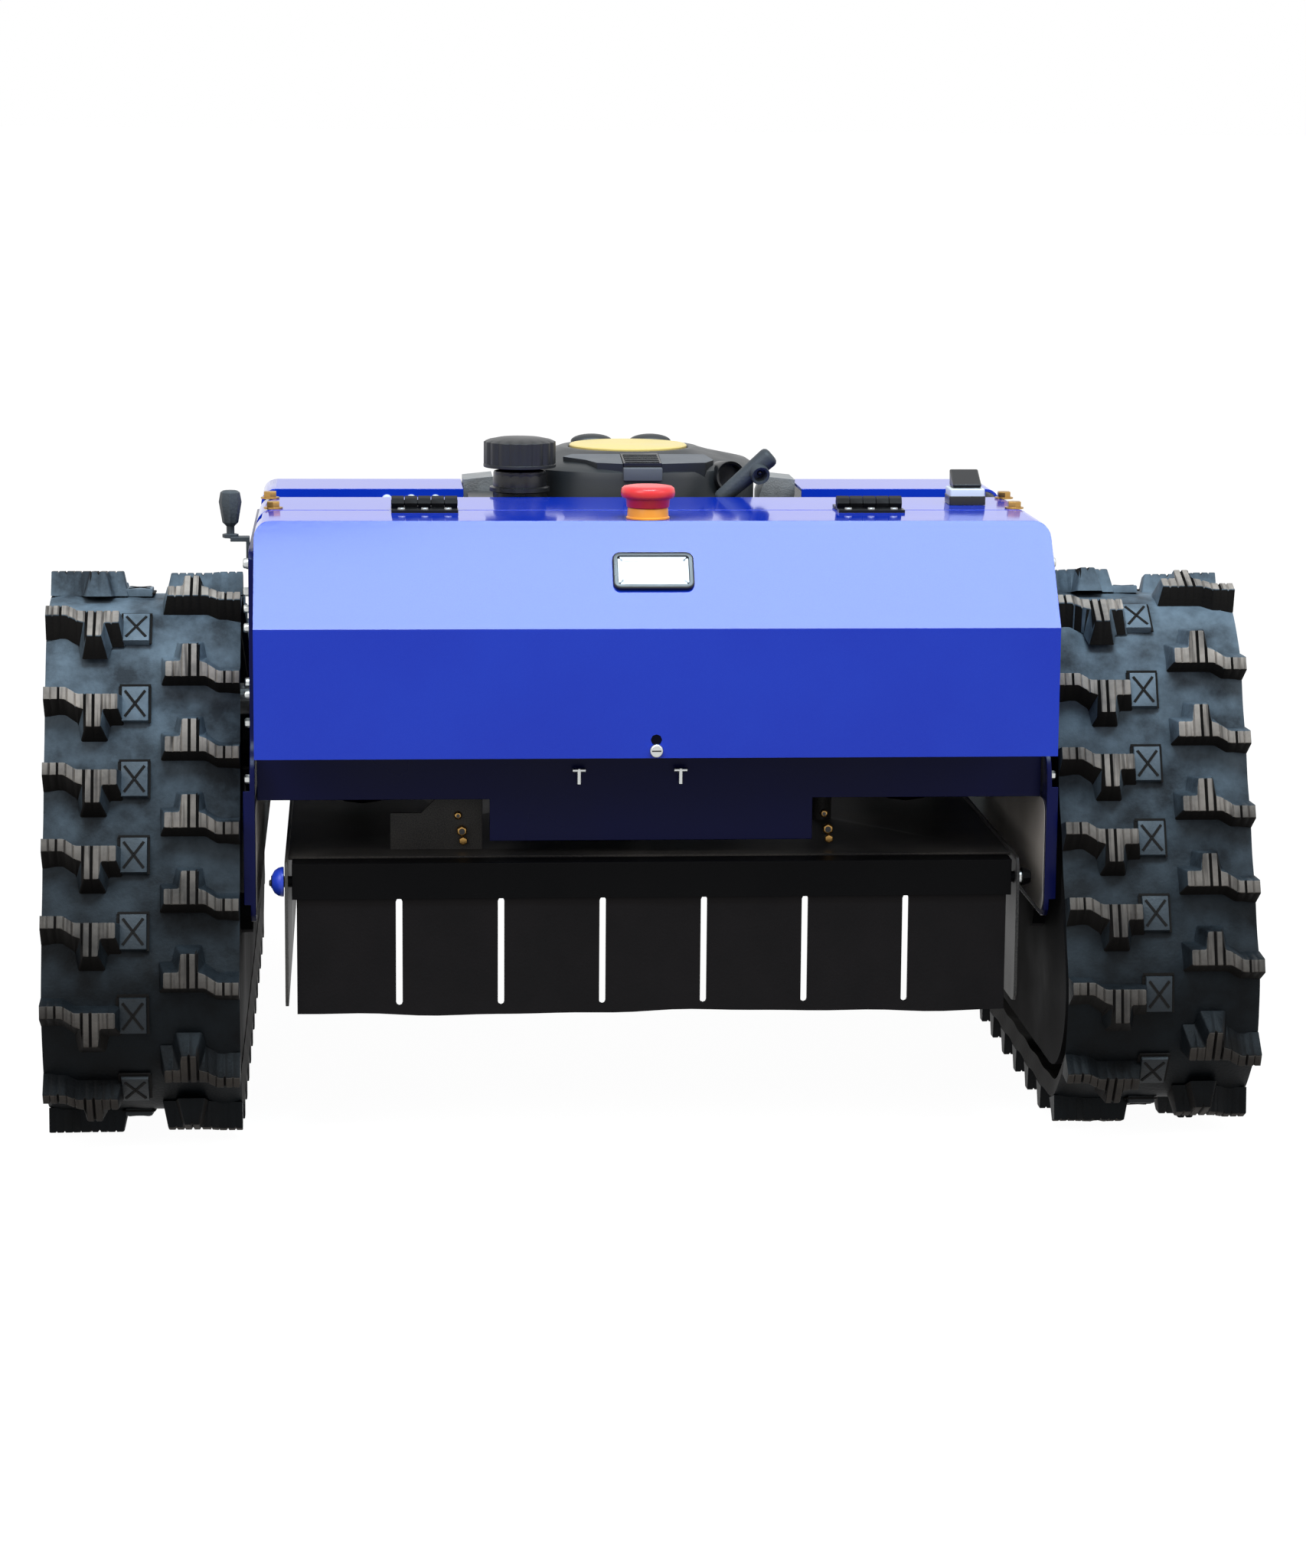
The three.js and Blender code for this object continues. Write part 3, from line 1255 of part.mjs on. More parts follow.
function rotor() {
  const low = bladeHeight + bladeThickness + gap;
  const at = (z) => [0, engineDepth, z];
  const shaft = bar(at(low), at(flywheelTopHeight), crankRadius, wheelSides);
  const wheel = bar(at(flywheelBottomHeight), at(flywheelTopHeight), flywheelRadius, wheelSides);
  const holder = bar(at(low), at(low + holderHeight), holderRadius, wheelSides);
  const vanes = Array.from({ length: fanBlades }, (_, i) => block(fanInnerRadius, flywheelRadius,
    -fanBladeThickness / 2, fanBladeThickness / 2, flywheelTopHeight - weldDepth, fanTopHeight)
    .rotate([0, 0, i * 2 * halfTurn / fanBlades]).translate(at(0)));
  place('crankshaft', join(shaft, wheel, holder, ...vanes), 'steel');
  const half = bladeWidth / 2;
  const flat = upright(rectangle(-bladeRadius, bladeRadius, -half, half), bladeHeight, bladeHeight + bladeThickness);
  const wing = alongX(outline([
    [half - bladeThickness, bladeHeight],
    [half - weldDepth, bladeHeight],
    [half + bladeLift, bladeHeight + bladeLift],
    [half + bladeLift - bladeThickness, bladeHeight + bladeLift],
    [half - bladeThickness * 2, bladeHeight + bladeThickness],
  ]), bladeSweep, bladeRadius - bladeLift);
  const bolt = bar([0, 0, bladeHeight - bladeBoltHeight], [0, 0, bladeHeight + weldDepth], bladeBoltRadius, 6);
  const blade = join(flat, wing, wing.rotate([0, 0, halfTurn]), bolt);
  place('blade', blade.translate(at(0)), 'steel');
}

function frontBay() {
  const floor = wallBottomHeight + sheet + gap;
  bothSides((side, word) => {
    const top = floor + batteryHeight;
    const middle = (batteryFrontDepth + batteryBackDepth) / 2;
    const body = block(side * batteryInner, side * batteryOuter, batteryFrontDepth, batteryBackDepth, floor, top);
    const posts = [batteryInner + terminalInset, batteryOuter - terminalInset].map((x) => bar(
      [side * x, middle, top - weldDepth], [side * x, middle, top + terminalHeight], terminalRadius));
    place(`battery_${word}`, join(body, ...posts), 'blackPlastic');
  });
  const finBack = controllerFrontDepth + controllerFinReach;
  const high = floor + controllerHeight;
  const body = block(-controllerHalfWidth, controllerHalfWidth, finBack, controllerBackDepth, floor, high);
  const fins = Array.from({ length: controllerFins }, (_, i) => {
    const x = (i / (controllerFins - 1) * 2 - 1) * (controllerHalfWidth - finThickness / 2);
    return block(x - finThickness / 2, x + finThickness / 2, controllerFrontDepth, finBack + weldDepth, floor, high);
  });
  place('motor_controller', join(body, ...fins), 'castAluminium');
}

function liftActuator() {
  const at = (x, z) => [x, actuatorDepth, z];
  const tube = bar(at(0, actuatorBottomHeight), at(0, actuatorTopHeight), actuatorRadius, wheelSides);
  const beside = actuatorRadius + actuatorMotorRadius - overrun;
  const motor = bar(at(beside, actuatorTopHeight - actuatorMotorHeight), at(beside, actuatorTopHeight),
    actuatorMotorRadius, wheelSides);
  const bore = bar(at(0, actuatorBottomHeight - overrun), at(0, actuatorRodTopHeight + gap),
    actuatorRodRadius + gap, wheelSides);
  const beamRoom = block(-actuatorRadius * 2, actuatorRadius * 4, frontBeamDepth - beamDepth / 2 - gap,
    frontBeamDepth + beamDepth, actuatorBottomHeight - overrun, actuatorTopHeight + overrun);
  place('lift_actuator', cut(join(tube, motor), bore, beamRoom), 'castAluminium');
  const foot = deckTopHeight + gap;
  const rod = bar(at(0, foot), at(0, actuatorRodTopHeight), actuatorRodRadius, wheelSides);
  const base = bar(at(0, foot), at(0, foot + actuatorFootHeight), actuatorFootRadius, wheelSides);
  place('actuator_rod', join(rod, base), 'steel');
}

// Lays a piece that was built flat at the origin onto the sloping panel of the cover
function onSlope(manifold, x, height) {
  const rise = topHeight - coverFoldHeight;
  const depth = (height - coverFoldHeight) / rise * coverSlopeDepth;
  const tilt = Math.atan2(rise, coverSlopeDepth) * 2 * halfTurn / turn;
  return manifold.rotate([tilt, 0, 0]).translate([x, depth, height]);
}

function display() {
  const [halfW, halfT] = [displayWidth / 2, displayTall / 2];
  const bezel = upright(rectangle(-halfW, halfW, -halfT, halfT, displayCornerRadius), gap, displayProud);
  const window = upright(rectangle(displayRim - halfW, halfW - displayRim, displayRim - halfT, halfT - displayRim,
    displayCornerRadius / 2), displayProud - weldDepth, displayProud + overrun);
  place('display', onSlope(cut(bezel, window), displayX, displayHeight), 'blackPlastic');
}

function stopButton() {
  const at = (z) => [stopX, stopDepth, z];
  const base = topHeight + gap;
  const low = base + stopBaseHeight + stopTravel + gap;
  place('stop_button_base', bar(at(base), at(base + stopBaseHeight), stopBaseRadius, wheelSides), 'yellowPlastic');
  const neck = low + (stopTopHeight - low) / 2;
  const mushroom = turned([
    [0, low],
    [stopStemRadius, low],
    [stopCapRadius - stopTravel, neck - stopTravel],
    [stopCapRadius, neck],
    [stopCapRadius, stopTopHeight - stopTravel],
    [stopCapRadius - stopTravel, stopTopHeight],
    [0, stopTopHeight],
  ], 'z', at(0), wheelSides);
  place('stop_button', mushroom, 'redPlastic');
}

function latchScrew() {
  const at = (y) => [latchX, y, latchHeight];
  const head = bar(at(-gap - latchHeadLength), at(-gap), latchRadius);
  const stem = bar(at(-gap - weldDepth), at(latchStemLength), latchStemRadius);
  place('latch_screw', join(head, stem), 'steel');
}

function powerSwitch() {
  const low = topHeight + gap;
  const [x0, x1] = [switchX - switchWidth / 2, switchX + switchWidth / 2];
  const bezelTop = low + switchBase + switchBezel;
  const body = block(x0, x1, switchDepth, switchDepth + switchLength, low, bezelTop);
  const well = block(x0 + rockerInset - gap, x1 - rockerInset + gap,
    switchDepth + rockerInset - gap, switchDepth + switchLength - rockerInset + gap,
    low + switchBase, bezelTop + overrun);
  place('power_switch', cut(body, well), 'blackPlastic');
  const front = switchDepth + rockerInset;
  const back = switchDepth + switchLength - rockerInset;
  const foot = bezelTop + gap;
  const lever = alongX(outline([
    [front + rockerInset, foot],
    [back - rockerInset, foot],
    [back, foot + rockerHigh],
    [back - rockerInset, foot + rockerHigh],
    [front, foot + rockerLow],
  ]), switchX - rockerWidth / 2, switchX + rockerWidth / 2);
  place('rocker', lever, 'blackPlastic');
}

function antenna() {
  const at = [antennaX, antennaDepth, 0];
  const foot = antennaFootHeight + antennaNut;
  const stub = turned([
    [0, antennaFootHeight],
    [antennaNeckRadius * 2, antennaFootHeight],
    [antennaNeckRadius * 2, foot],
    [antennaNeckRadius, foot],
    [antennaNeckRadius, foot + antennaNut * 2],
    [antennaRadius * antennaWaistShare, foot + antennaNut * 3],
    [antennaRadius, antennaTopHeight - antennaRadius],
    [antennaRadius * antennaBrowShare, antennaTopHeight - antennaNut / 2],
    [antennaRadius * antennaCrownShare, antennaTopHeight],
    [0, antennaTopHeight],
  ], 'z', at, smallSides);
  const half = antennaNeckRadius * 2;
  const arm = block(antennaX, -sidePlateInner - plateThickness - gap, antennaDepth - half, antennaDepth + half,
    antennaFootHeight - sheet, antennaFootHeight + weldDepth);
  const leg = block(-sidePlateInner - plateThickness - gap - sheet, -sidePlateInner - plateThickness - gap,
    antennaDepth - half, antennaDepth + half, antennaFootHeight - cheekFootDepth, antennaFootHeight + weldDepth);
  place('antenna', join(stub, arm, leg), 'rubber');
}

frontCover();
coverHinges();
topPlate();
rearCover();
sidePlates();
frontTray();
guideBeam('front_guide_beam', frontBeamDepth, frontBeamBottomHeight, frontSleeveBottomHeight,
  frontBeamBottomHeight + beamHeight);
guideBeam('rear_guide_beam', rearBeamDepth, rearBeamBottomHeight, rearSleeveBottomHeight, rearSleeveTopHeight);
deckShell();
flapCarrier('front_flap', flapRodInset, -1);
curtain('front_curtain', flapRodInset, -1);
flapCarrier('rear_flap', rearFlapRodDepth, 1);
curtain('rear_curtain', rearFlapRodDepth, 1);
rubberTracks();
runningWheels();
trackFrames();
driveUnits();
crankcase();
blowerHousing();
fuelTank();
fuelCap();
engineExtras();
rotor();
frontBay();
liftActuator();
display();
stopButton();
latchScrew();
powerSwitch();
antenna();

// The origin goes to the ground under the middle of the machine
const middle = new THREE.Box3().setFromObject(machine).getCenter(new THREE.Vector3());
machine.position.set(0, -middle.y, 0);

export default machine;
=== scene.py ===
# %% [markdown]
# # Remote control slope mower, dressed for its photograph
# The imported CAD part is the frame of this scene: every node already has its real size and place.
# The lesson gives each node the finish of its real material and builds the pieces that need finer
# detail than a solid for simulation carries. It goes from the outside in: studio, finishes, cover,
# controls, tracks, deck and engine.

# %% Tools, the frame and its box
import json
import math

import bmesh
import bpy
from mathutils import Matrix, Vector


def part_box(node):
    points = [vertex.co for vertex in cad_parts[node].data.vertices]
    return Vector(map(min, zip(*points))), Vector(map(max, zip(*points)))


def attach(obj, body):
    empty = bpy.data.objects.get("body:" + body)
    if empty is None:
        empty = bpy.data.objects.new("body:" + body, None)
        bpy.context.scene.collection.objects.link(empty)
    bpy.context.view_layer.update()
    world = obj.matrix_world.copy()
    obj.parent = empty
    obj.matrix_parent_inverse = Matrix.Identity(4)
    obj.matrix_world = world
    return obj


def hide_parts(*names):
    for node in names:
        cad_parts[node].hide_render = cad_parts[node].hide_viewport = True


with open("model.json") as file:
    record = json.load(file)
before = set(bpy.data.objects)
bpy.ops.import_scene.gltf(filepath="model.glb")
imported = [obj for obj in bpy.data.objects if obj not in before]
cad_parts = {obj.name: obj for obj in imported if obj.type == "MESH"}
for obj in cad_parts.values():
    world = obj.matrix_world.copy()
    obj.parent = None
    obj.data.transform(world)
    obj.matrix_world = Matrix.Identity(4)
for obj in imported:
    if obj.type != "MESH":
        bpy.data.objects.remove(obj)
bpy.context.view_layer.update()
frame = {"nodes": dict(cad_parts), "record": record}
scene = bpy.context.scene
MM = 0.001
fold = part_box("front_cover")[0].y

# %% [markdown]
# ## Places
# The machine was measured from the fold line of its front cover: x to the viewer's right, depth
# back from the fold, and height above the ground, all in millimetres. One function turns such a
# place into the frame's metres, so that every number below can be checked on the real machine.

# %% Millimetres from the cover's fold to metres in the frame
UP, FRONT = (0, 0, 1), (0, -1, 0)
SIDES = (("left", -1), ("right", 1))
SLOPE_DEPTH, FOLD_HEIGHT, TOP_HEIGHT = 63.0, 406.0, 481.0
HINGE_OFFSET = 175


def at(x, depth, height):
    return Vector((x * MM, fold + depth * MM, height * MM))


print("fold line at y =", round(fold, 5))

# %% [markdown]
# ## Camera
# The photograph looks at the front from just above the engine, a little left of the middle. A
# long lens far away keeps the two tracks nearly parallel. A lens of 91.4 mm on a 36 mm sensor and
# a turn of 4.3 degrees to the right, 10 degrees down and a slight roll give that view, so no lens
# shift is needed.

# %% The camera of the photograph
CAMERA_LENS, SENSOR_WIDTH = 91.41, 36
CAMERA_PLACE = (-227.7, -2970, 814.5)
CAMERA_TURN = (4.3, 10.04, 0.45)


def aimed(yaw, pitch, roll):
    yaw, pitch, roll = (math.radians(a) for a in (yaw, pitch, roll))
    ahead = Vector((math.sin(yaw) * math.cos(pitch), math.cos(yaw) * math.cos(pitch), -math.sin(pitch)))
    right = Vector((math.cos(yaw), -math.sin(yaw), 0))
    up = right.cross(ahead)
    across = math.cos(roll) * right + math.sin(roll) * up
    above = -math.sin(roll) * right + math.cos(roll) * up
    return Matrix((across, above, -ahead)).transposed().to_4x4()


def new_object(name, data):
    thing = bpy.data.objects.new(name, data)
    scene.collection.objects.link(thing)
    return thing


lens = bpy.data.cameras.new("photo_view")
lens.lens = CAMERA_LENS
lens.sensor_width = SENSOR_WIDTH
lens.clip_end = 100
camera = new_object("photo_view", lens)
camera.matrix_world = Matrix.Translation(at(*CAMERA_PLACE)) @ aimed(*CAMERA_TURN)
scene.camera = camera
print("camera at", [round(v, 3) for v in camera.location])

# %% [markdown]
# ## Materials: a few small tools
# A colour is written as it looks on screen, in sRGB hex, and one function turns it to the linear
# numbers that the shader wants. Another adds a node with its settings: a value is set on the
# socket, and a socket that is handed in is linked. The rest name the few kinds of node in use.

# %% Colour and node helpers
def linear(hex_colour):
    parts = [int(hex_colour[i:i + 2], 16) / 255 for i in (1, 3, 5)]
    return (*[c / 12.92 if c <= 0.04045 else ((c + 0.055) / 1.055) ** 2.4 for c in parts], 1)


def add(tree, kind, sockets=None, **settings):
    node = tree.nodes.new(kind)
    for name, value in settings.items():
        setattr(node, name, value)
    for name, value in (sockets or {}).items():
        if isinstance(value, bpy.types.NodeSocket):
            tree.links.new(value, node.inputs[name])
        else:
            node.inputs[name].default_value = value
    return node


def noise(tree, place, scale, detail, **more):
    sockets = {"Vector": place, "Scale": scale, "Detail": detail, **more}
    return add(tree, "ShaderNodeTexNoise", sockets).outputs["Fac"]


def ranged(tree, value, low, high, to_low, to_high):
    sockets = {"Value": value, "From Min": low, "From Max": high, "To Min": to_low, "To Max": to_high}
    return add(tree, "ShaderNodeMapRange", sockets).outputs[0]


def mixed(tree, share, low, high, **settings):
    sockets = {"Factor": share, 6: low, 7: high}
    return add(tree, "ShaderNodeMix", sockets, data_type="RGBA", **settings).outputs[2]


def reckon(tree, operation, *values):
    return add(tree, "ShaderNodeMath", dict(enumerate(values)), operation=operation).outputs[0]


def bumped(tree, height, strength, distance):
    sockets = {"Height": height, "Strength": strength, "Distance": distance}
    return add(tree, "ShaderNodeBump", sockets).outputs[0]


def new_finish(name):
    material = bpy.data.materials.new(name)
    material.use_nodes = True
    tree = material.node_tree
    tree.nodes.clear()
    place = add(tree, "ShaderNodeTexCoord").outputs["Object"]
    return material, tree, place


def close_finish(tree, sockets):
    surface = add(tree, "ShaderNodeBsdfPrincipled", sockets)
    add(tree, "ShaderNodeOutputMaterial", {"Surface": surface.outputs[0]})


WHITE = linear("#FFFFFF")
print("white is", WHITE)

# %% [markdown]
# ## Studio
# The machine was cut out on white. A white floor reaches past the horizon. To the camera and to
# mirrors it adds some glow of its own, which lifts it to white but keeps the machine's shadow.
# Two large soft lamps and the sky light the machine. A long bright panel hangs above it, where
# the sloping panel of the cover mirrors it, as the real one mirrored a bright sky.

# %% Floor, sky and lamps
FLOOR_GLOW, FLOOR_REACH = 0.97, 60
SKY = 0.6


def seen(tree):
    path = add(tree, "ShaderNodeLightPath").outputs
    first = reckon(tree, "MAXIMUM", path["Is Camera Ray"], path["Is Glossy Ray"])
    return reckon(tree, "MAXIMUM", first, path["Is Transmission Ray"])


floor_paint, tree, _ = new_finish("white_studio_floor")
glow = reckon(tree, "MULTIPLY", seen(tree), FLOOR_GLOW)
close_finish(tree, {"Base Color": linear("#4C4C4C"), "Roughness": 0.9, "Specular IOR Level": 0.1,
                    "Emission Color": WHITE, "Emission Strength": glow})

grid = bmesh.new()
bmesh.ops.create_grid(grid, x_segments=1, y_segments=1, size=FLOOR_REACH)
floor_mesh = bpy.data.meshes.new("floor")
grid.to_mesh(floor_mesh)
grid.free()
floor_mesh.materials.append(floor_paint)
new_object("floor", floor_mesh)

world = bpy.data.worlds.new("studio_sky")
scene.world = world
world.use_nodes = True
world.node_tree.nodes.clear()
tree = world.node_tree
strength = ranged(tree, seen(tree), 0.0, 1.0, SKY, 1.0)
sky = add(tree, "ShaderNodeBackground", {"Color": WHITE, "Strength": strength})
add(tree, "ShaderNodeOutputWorld", {"Surface": sky.outputs[0]})


def lamp(name, place, target, width, height, power, tint="#FFFFFF"):
    light = bpy.data.lights.new(name, "AREA")
    light.shape = "RECTANGLE"
    light.size, light.size_y = width, height
    light.energy = power
    light.color = linear(tint)[:3]
    place = Vector(place)
    turn = (Vector(target) - place).to_track_quat("-Z", "Y").to_matrix().to_4x4()
    new_object(name, light).matrix_world = Matrix.Translation(place) @ turn


lamp("key_lamp", (-2.6, -3.2, 3.2), (0, 0, 0.2), 2.2, 2.2, 60)
lamp("fill_lamp", (3.2, -2.2, 2.4), (0, 0, 0.2), 2.0, 2.0, 26)
lamp("sky_panel", (0.2, -1.6, 3.5), (0, -0.4, 0.44), 2.2, 0.9, 140, "#D8F0FF")
scene.view_settings.view_transform = "Standard"

# %% [markdown]
# ## Paints
# The sheet metal is powder coated: a thick baked film, very glossy, with the slight waviness that
# is called orange peel. Bumps about 4 mm apart and a few hundredths deep break the mirror images
# just enough. The deck has the same film in a flatter black that has picked up dust, and its black
# is lifted further as a painted sheen.

# %% Powder coats
PEEL_SCALE, PEEL_DEPTH, DUST_SCALE, SPECK_SCALE = 240.0, 0.0004, 9.0, 1100.0


def powder_coat(name, colour, dust_colour, dust, roughness, peel, shine=0.25):
    material, tree, place = new_finish(name)
    cloud = noise(tree, place, DUST_SCALE, 5.0)
    patches = ranged(tree, cloud, 0.42, 0.72, 0.0, dust)
    grain = ranged(tree, noise(tree, place, SPECK_SCALE, 1.0), 0.35, 0.65, 0.0, dust * 0.5)
    tone = mixed(tree, reckon(tree, "ADD", patches, grain), linear(colour), linear(dust_colour))
    gloss = ranged(tree, cloud, 0.3, 0.8, roughness, roughness * 1.5)
    waves = noise(tree, place, PEEL_SCALE, 2.0)
    close_finish(tree, {"Base Color": tone, "Roughness": gloss, "IOR": 1.5, "Specular IOR Level": shine,
                        "Normal": bumped(tree, waves, peel, PEEL_DEPTH)})
    return material


blue_coat = powder_coat("blue_gloss_powder_coat", "#0A30B4", "#1C44C6", 0.25, 0.07, 0.05)
# The wall under the cover takes a navy copy of the blue coat: painted shade for its recess.
wall_shade_coat = powder_coat("blue_coat_painted_shade_navy", "#0B0F3C", "#14184A", 0.25, 0.25, 0.05, 0.1)
black_coat = powder_coat("black_satin_powder_coat", "#08080A", "#1E1C1B", 0.3, 0.36, 0.12, 0.14)
hinge_coat = powder_coat("black_enamel_on_hinges", "#0C0C0E", "#24252A", 0.2, 0.28, 0.1)
# The side plates take a deeper copy of the blue coat: painted shade, as they stand in shadow.
side_shade_coat = powder_coat("blue_coat_painted_shade_deep", "#0C1248", "#161C58", 0.25, 0.2, 0.05, 0.1)
# A pale sheet for the inner faces of the side plates: a painted reflection, lightened against shade.
pale_reflection_paint = powder_coat("pale_painted_reflection_paint", "#E6DED4", "#C9BFB4", 0.7, 0.5, 0.2, 0.4)
# The deck's black is lifted by dust and, beyond that, by a painted sheen for the sky it mirrors.
deck_dust_and_sheen_coat = powder_coat("black_coat_dust_and_painted_sheen", "#18181A", "#524F4B", 0.7, 0.4, 0.12, 0.2)
flap_coat = powder_coat("deep_black_powder_coat", "#060607", "#151414", 0.3, 0.42, 0.1, 0.05)
frame_coat = powder_coat("dull_black_frame_paint", "#151517", "#262423", 0.6, 0.6, 0.1, 0.03)
print("coats", blue_coat.name, black_coat.name)

# %% [markdown]
# ## Rubber
# The belt is moulded natural rubber filled with carbon black. Weather draws a blue-grey bloom over
# the parts that nothing rubs, and the working faces of the lugs are scuffed brown-grey with fine
# grooves along the travel, darkened in the grooves as painted shade. Their steep flanks are painted
# black, as painted shade. Towards the ground the rubber is painted much darker and higher up
# lighter, as painted shade. The curtain is a plain dull sheet.

# %% Track rubber: bloom, scuffed faces and painted shade
# Heights in metres where the painted shade on the track rubber is full and where it ends.
SHADE_FULL_BELOW, SHADE_GONE_ABOVE, SHADE_CURVE_POWER = 0.06, 0.37, 1.9


def moulded_rubber(name, colour, bloom_colour, bloom, roughness, groove=0.0, shine=0.25, height_shade=0.0):
    material, tree, place = new_finish(name)
    patches = ranged(tree, noise(tree, place, 26.0, 6.0, Roughness=0.6), 0.35, 0.68, 0.0, bloom)
    tone = mixed(tree, patches, linear(colour), linear(bloom_colour))
    relief = noise(tree, place, 420.0, 3.0)
    # Painted shade by height: the colour darkens towards the ground and lightens higher up.
    if height_shade:
        height = add(tree, "ShaderNodeSeparateXYZ", {"Vector": place}).outputs["Z"]
        share = reckon(tree, "POWER", ranged(tree, height, SHADE_FULL_BELOW, SHADE_GONE_ABOVE, 0.0, 1.0), SHADE_CURVE_POWER)
        light = ranged(tree, share, 0.0, 1.0, 1 - height_shade, 1 + height_shade * 1.5)
        tone = mixed(tree, 1.0, tone, light, blend_type="MULTIPLY")
    # The fine grooves are a bump and also a painted shade: their colour darkens to near black.
    if groove:
        drawn = add(tree, "ShaderNodeMapping", {"Vector": place, "Scale": (1.0, 0.06, 0.06)}).outputs[0]
        groove_shade = ranged(tree, noise(tree, drawn, 260.0, 2.0), 0.3, 0.46, 0.8, 0.0)
        tone = mixed(tree, groove_shade, tone, linear("#2A2522"))
        relief = reckon(tree, "MULTIPLY_ADD", groove_shade, -groove, relief)
    close_finish(tree, {"Base Color": tone, "Roughness": roughness, "IOR": 1.52, "Specular IOR Level": shine,
                        "Normal": bumped(tree, relief, 0.5, 0.0006)})
    return material


belt_rubber = moulded_rubber("bloomed_track_rubber", "#1A1E22", "#454F57", 0.9, 0.5, shine=0.08, height_shade=0.9)
pad_rubber = moulded_rubber("pale_bloomed_pad_rubber", "#2B3339", "#4E5962", 0.85, 0.5, height_shade=0.8)
lug_rubber = moulded_rubber("scuffed_lug_rubber", "#4A4541", "#7F766E", 0.95, 0.8, 1.6, height_shade=0.6)
# Black for lug flanks, belt sides and deep grooves that face away from the light: painted shade.
shade_black_rubber = moulded_rubber("lug_flank_painted_shade_rubber", "#100E0D", "#191715", 0.6, 0.7, shine=0.1)
curtain_rubber = moulded_rubber("black_rubber_sheet", "#0C0A0B", "#151213", 0.6, 0.62, shine=0.1)
tube_rubber = moulded_rubber("grey_extruded_rubber_tube", "#34383C", "#50565B", 0.5, 0.5)
wheel_rubber = moulded_rubber("dusty_black_wheel_rubber", "#1D1E20", "#33332F", 0.6, 0.65, shine=0.1)
print("rubbers", belt_rubber.name, lug_rubber.name)

# %% [markdown]
# ## Plastics, metals and glass
# Injection-moulded ABS and nylon have an even colour, a very fine spark-eroded grain and a soft
# shine. Zinc plating is a pale metal with a cloudy lustre, brass is yellow, and cast aluminium
# shows the sand it was cast in as bumps of about 1 mm.

# %% Plastics
def moulded_plastic(name, colour, roughness, grain=0.12):
    material, tree, place = new_finish(name)
    cloud = noise(tree, place, 30.0, 3.0)
    gloss = ranged(tree, cloud, 0.3, 0.7, roughness * 0.85, roughness * 1.2)
    low = linear(colour)
    high = [min(1.0, c * 1.25 + 0.004) for c in low]
    eroded = noise(tree, place, 900.0, 2.0)
    close_finish(tree, {"Base Color": mixed(tree, cloud, low, high), "Roughness": gloss, "IOR": 1.49,
                        "Normal": bumped(tree, eroded, grain, 0.0003)})
    return material


charcoal_nylon = moulded_plastic("charcoal_moulded_nylon", "#1E2022", 0.42)
ledge_nylon = moulded_plastic("grey_moulded_nylon", "#4A4C50", 0.5)
cap_nylon = moulded_plastic("black_moulded_nylon", "#0E1013", 0.4)
black_abs_and_recess_shade = moulded_plastic("black_moulded_abs_and_painted_recess_shade", "#101114", 0.3)
white_abs = moulded_plastic("silver_grey_moulded_abs", "#C4C8CC", 0.35)
red_abs = moulded_plastic("red_moulded_abs", "#DD2A2E", 0.3, 0.05)
orange_abs = moulded_plastic("orange_yellow_moulded_abs", "#F2932B", 0.35, 0.05)
disc_plate = moulded_plastic("pale_yellow_lacquered_disc", "#C9B067", 0.35, 0.05)
blue_dome = moulded_plastic("blue_nylon_cap_nut", "#2342C4", 0.3)
battery_case = moulded_plastic("grey_polypropylene_case", "#3C4046", 0.45)
print("plastics", charcoal_nylon.name, red_abs.name)


# %% Metals and the display's lens
def metal(name, colour, roughness, scale, depth):
    material, tree, place = new_finish(name)
    gloss = ranged(tree, noise(tree, place, 60.0, 3.0), 0.3, 0.7, roughness * 0.8, roughness * 1.3)
    texture = noise(tree, place, scale, 4.0)
    close_finish(tree, {"Base Color": linear(colour), "Metallic": 1.0, "Roughness": gloss,
                        "Normal": bumped(tree, texture, 0.5, depth)})
    return material


zinc = metal("zinc_plated_steel", "#C6C8C6", 0.3, 500.0, 0.0001)
brass = metal("yellow_passivated_steel", "#B08A50", 0.3, 500.0, 0.0001)
bare_steel = metal("ground_bare_steel", "#A9ABAD", 0.3, 700.0, 0.0001)
cast_metal = metal("sand_cast_aluminium", "#989A9B", 0.5, 800.0, 0.0005)
hot_steel = metal("heat_tinted_steel", "#8A7A66", 0.45, 300.0, 0.0002)

lens_face, tree, place = new_finish("frosted_acrylic_display_lens")
milk = mixed(tree, noise(tree, place, 90.0, 3.0), linear("#D3E0E4"), linear("#F2F8FA"))
close_finish(tree, {"Base Color": milk, "Roughness": 0.12, "IOR": 1.49})
print("metals", zinc.name, cast_metal.name)

# %% [markdown]
# ## Making a piece
# Every piece ends the same way: its mesh gets its finishes and smooth shading up to a chosen
# angle, it rides on a body of the part, and it may stand in for CAD nodes.

# %% From a bmesh to a piece
def piece(name, mesh, finishes, body, stands_for=None, angle=32, bevel=0.0):
    data = bpy.data.meshes.new(name)
    mesh.normal_update()
    mesh.to_mesh(data)
    mesh.free()
    for finish in finishes if isinstance(finishes, (list, tuple)) else [finishes]:
        data.materials.append(finish)
    data.shade_smooth()
    data.set_sharp_from_angle(angle=math.radians(angle))
    thing = new_object(name, data)
    if bevel:
        edge = thing.modifiers.new("edge_radius", "BEVEL")
        edge.width, edge.segments, edge.profile = bevel * MM, 2, 0.5
        edge.limit_method, edge.angle_limit = "ANGLE", math.radians(angle)
        edge.harden_normals = True
    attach(thing, body)
    if stands_for:
        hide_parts(stands_for)
    return thing


BODY_OF = {node: name for name, nodes in frame["record"]["behaviour"]["bodies"].items() for node in nodes}
print("nodes with a body", len(BODY_OF))

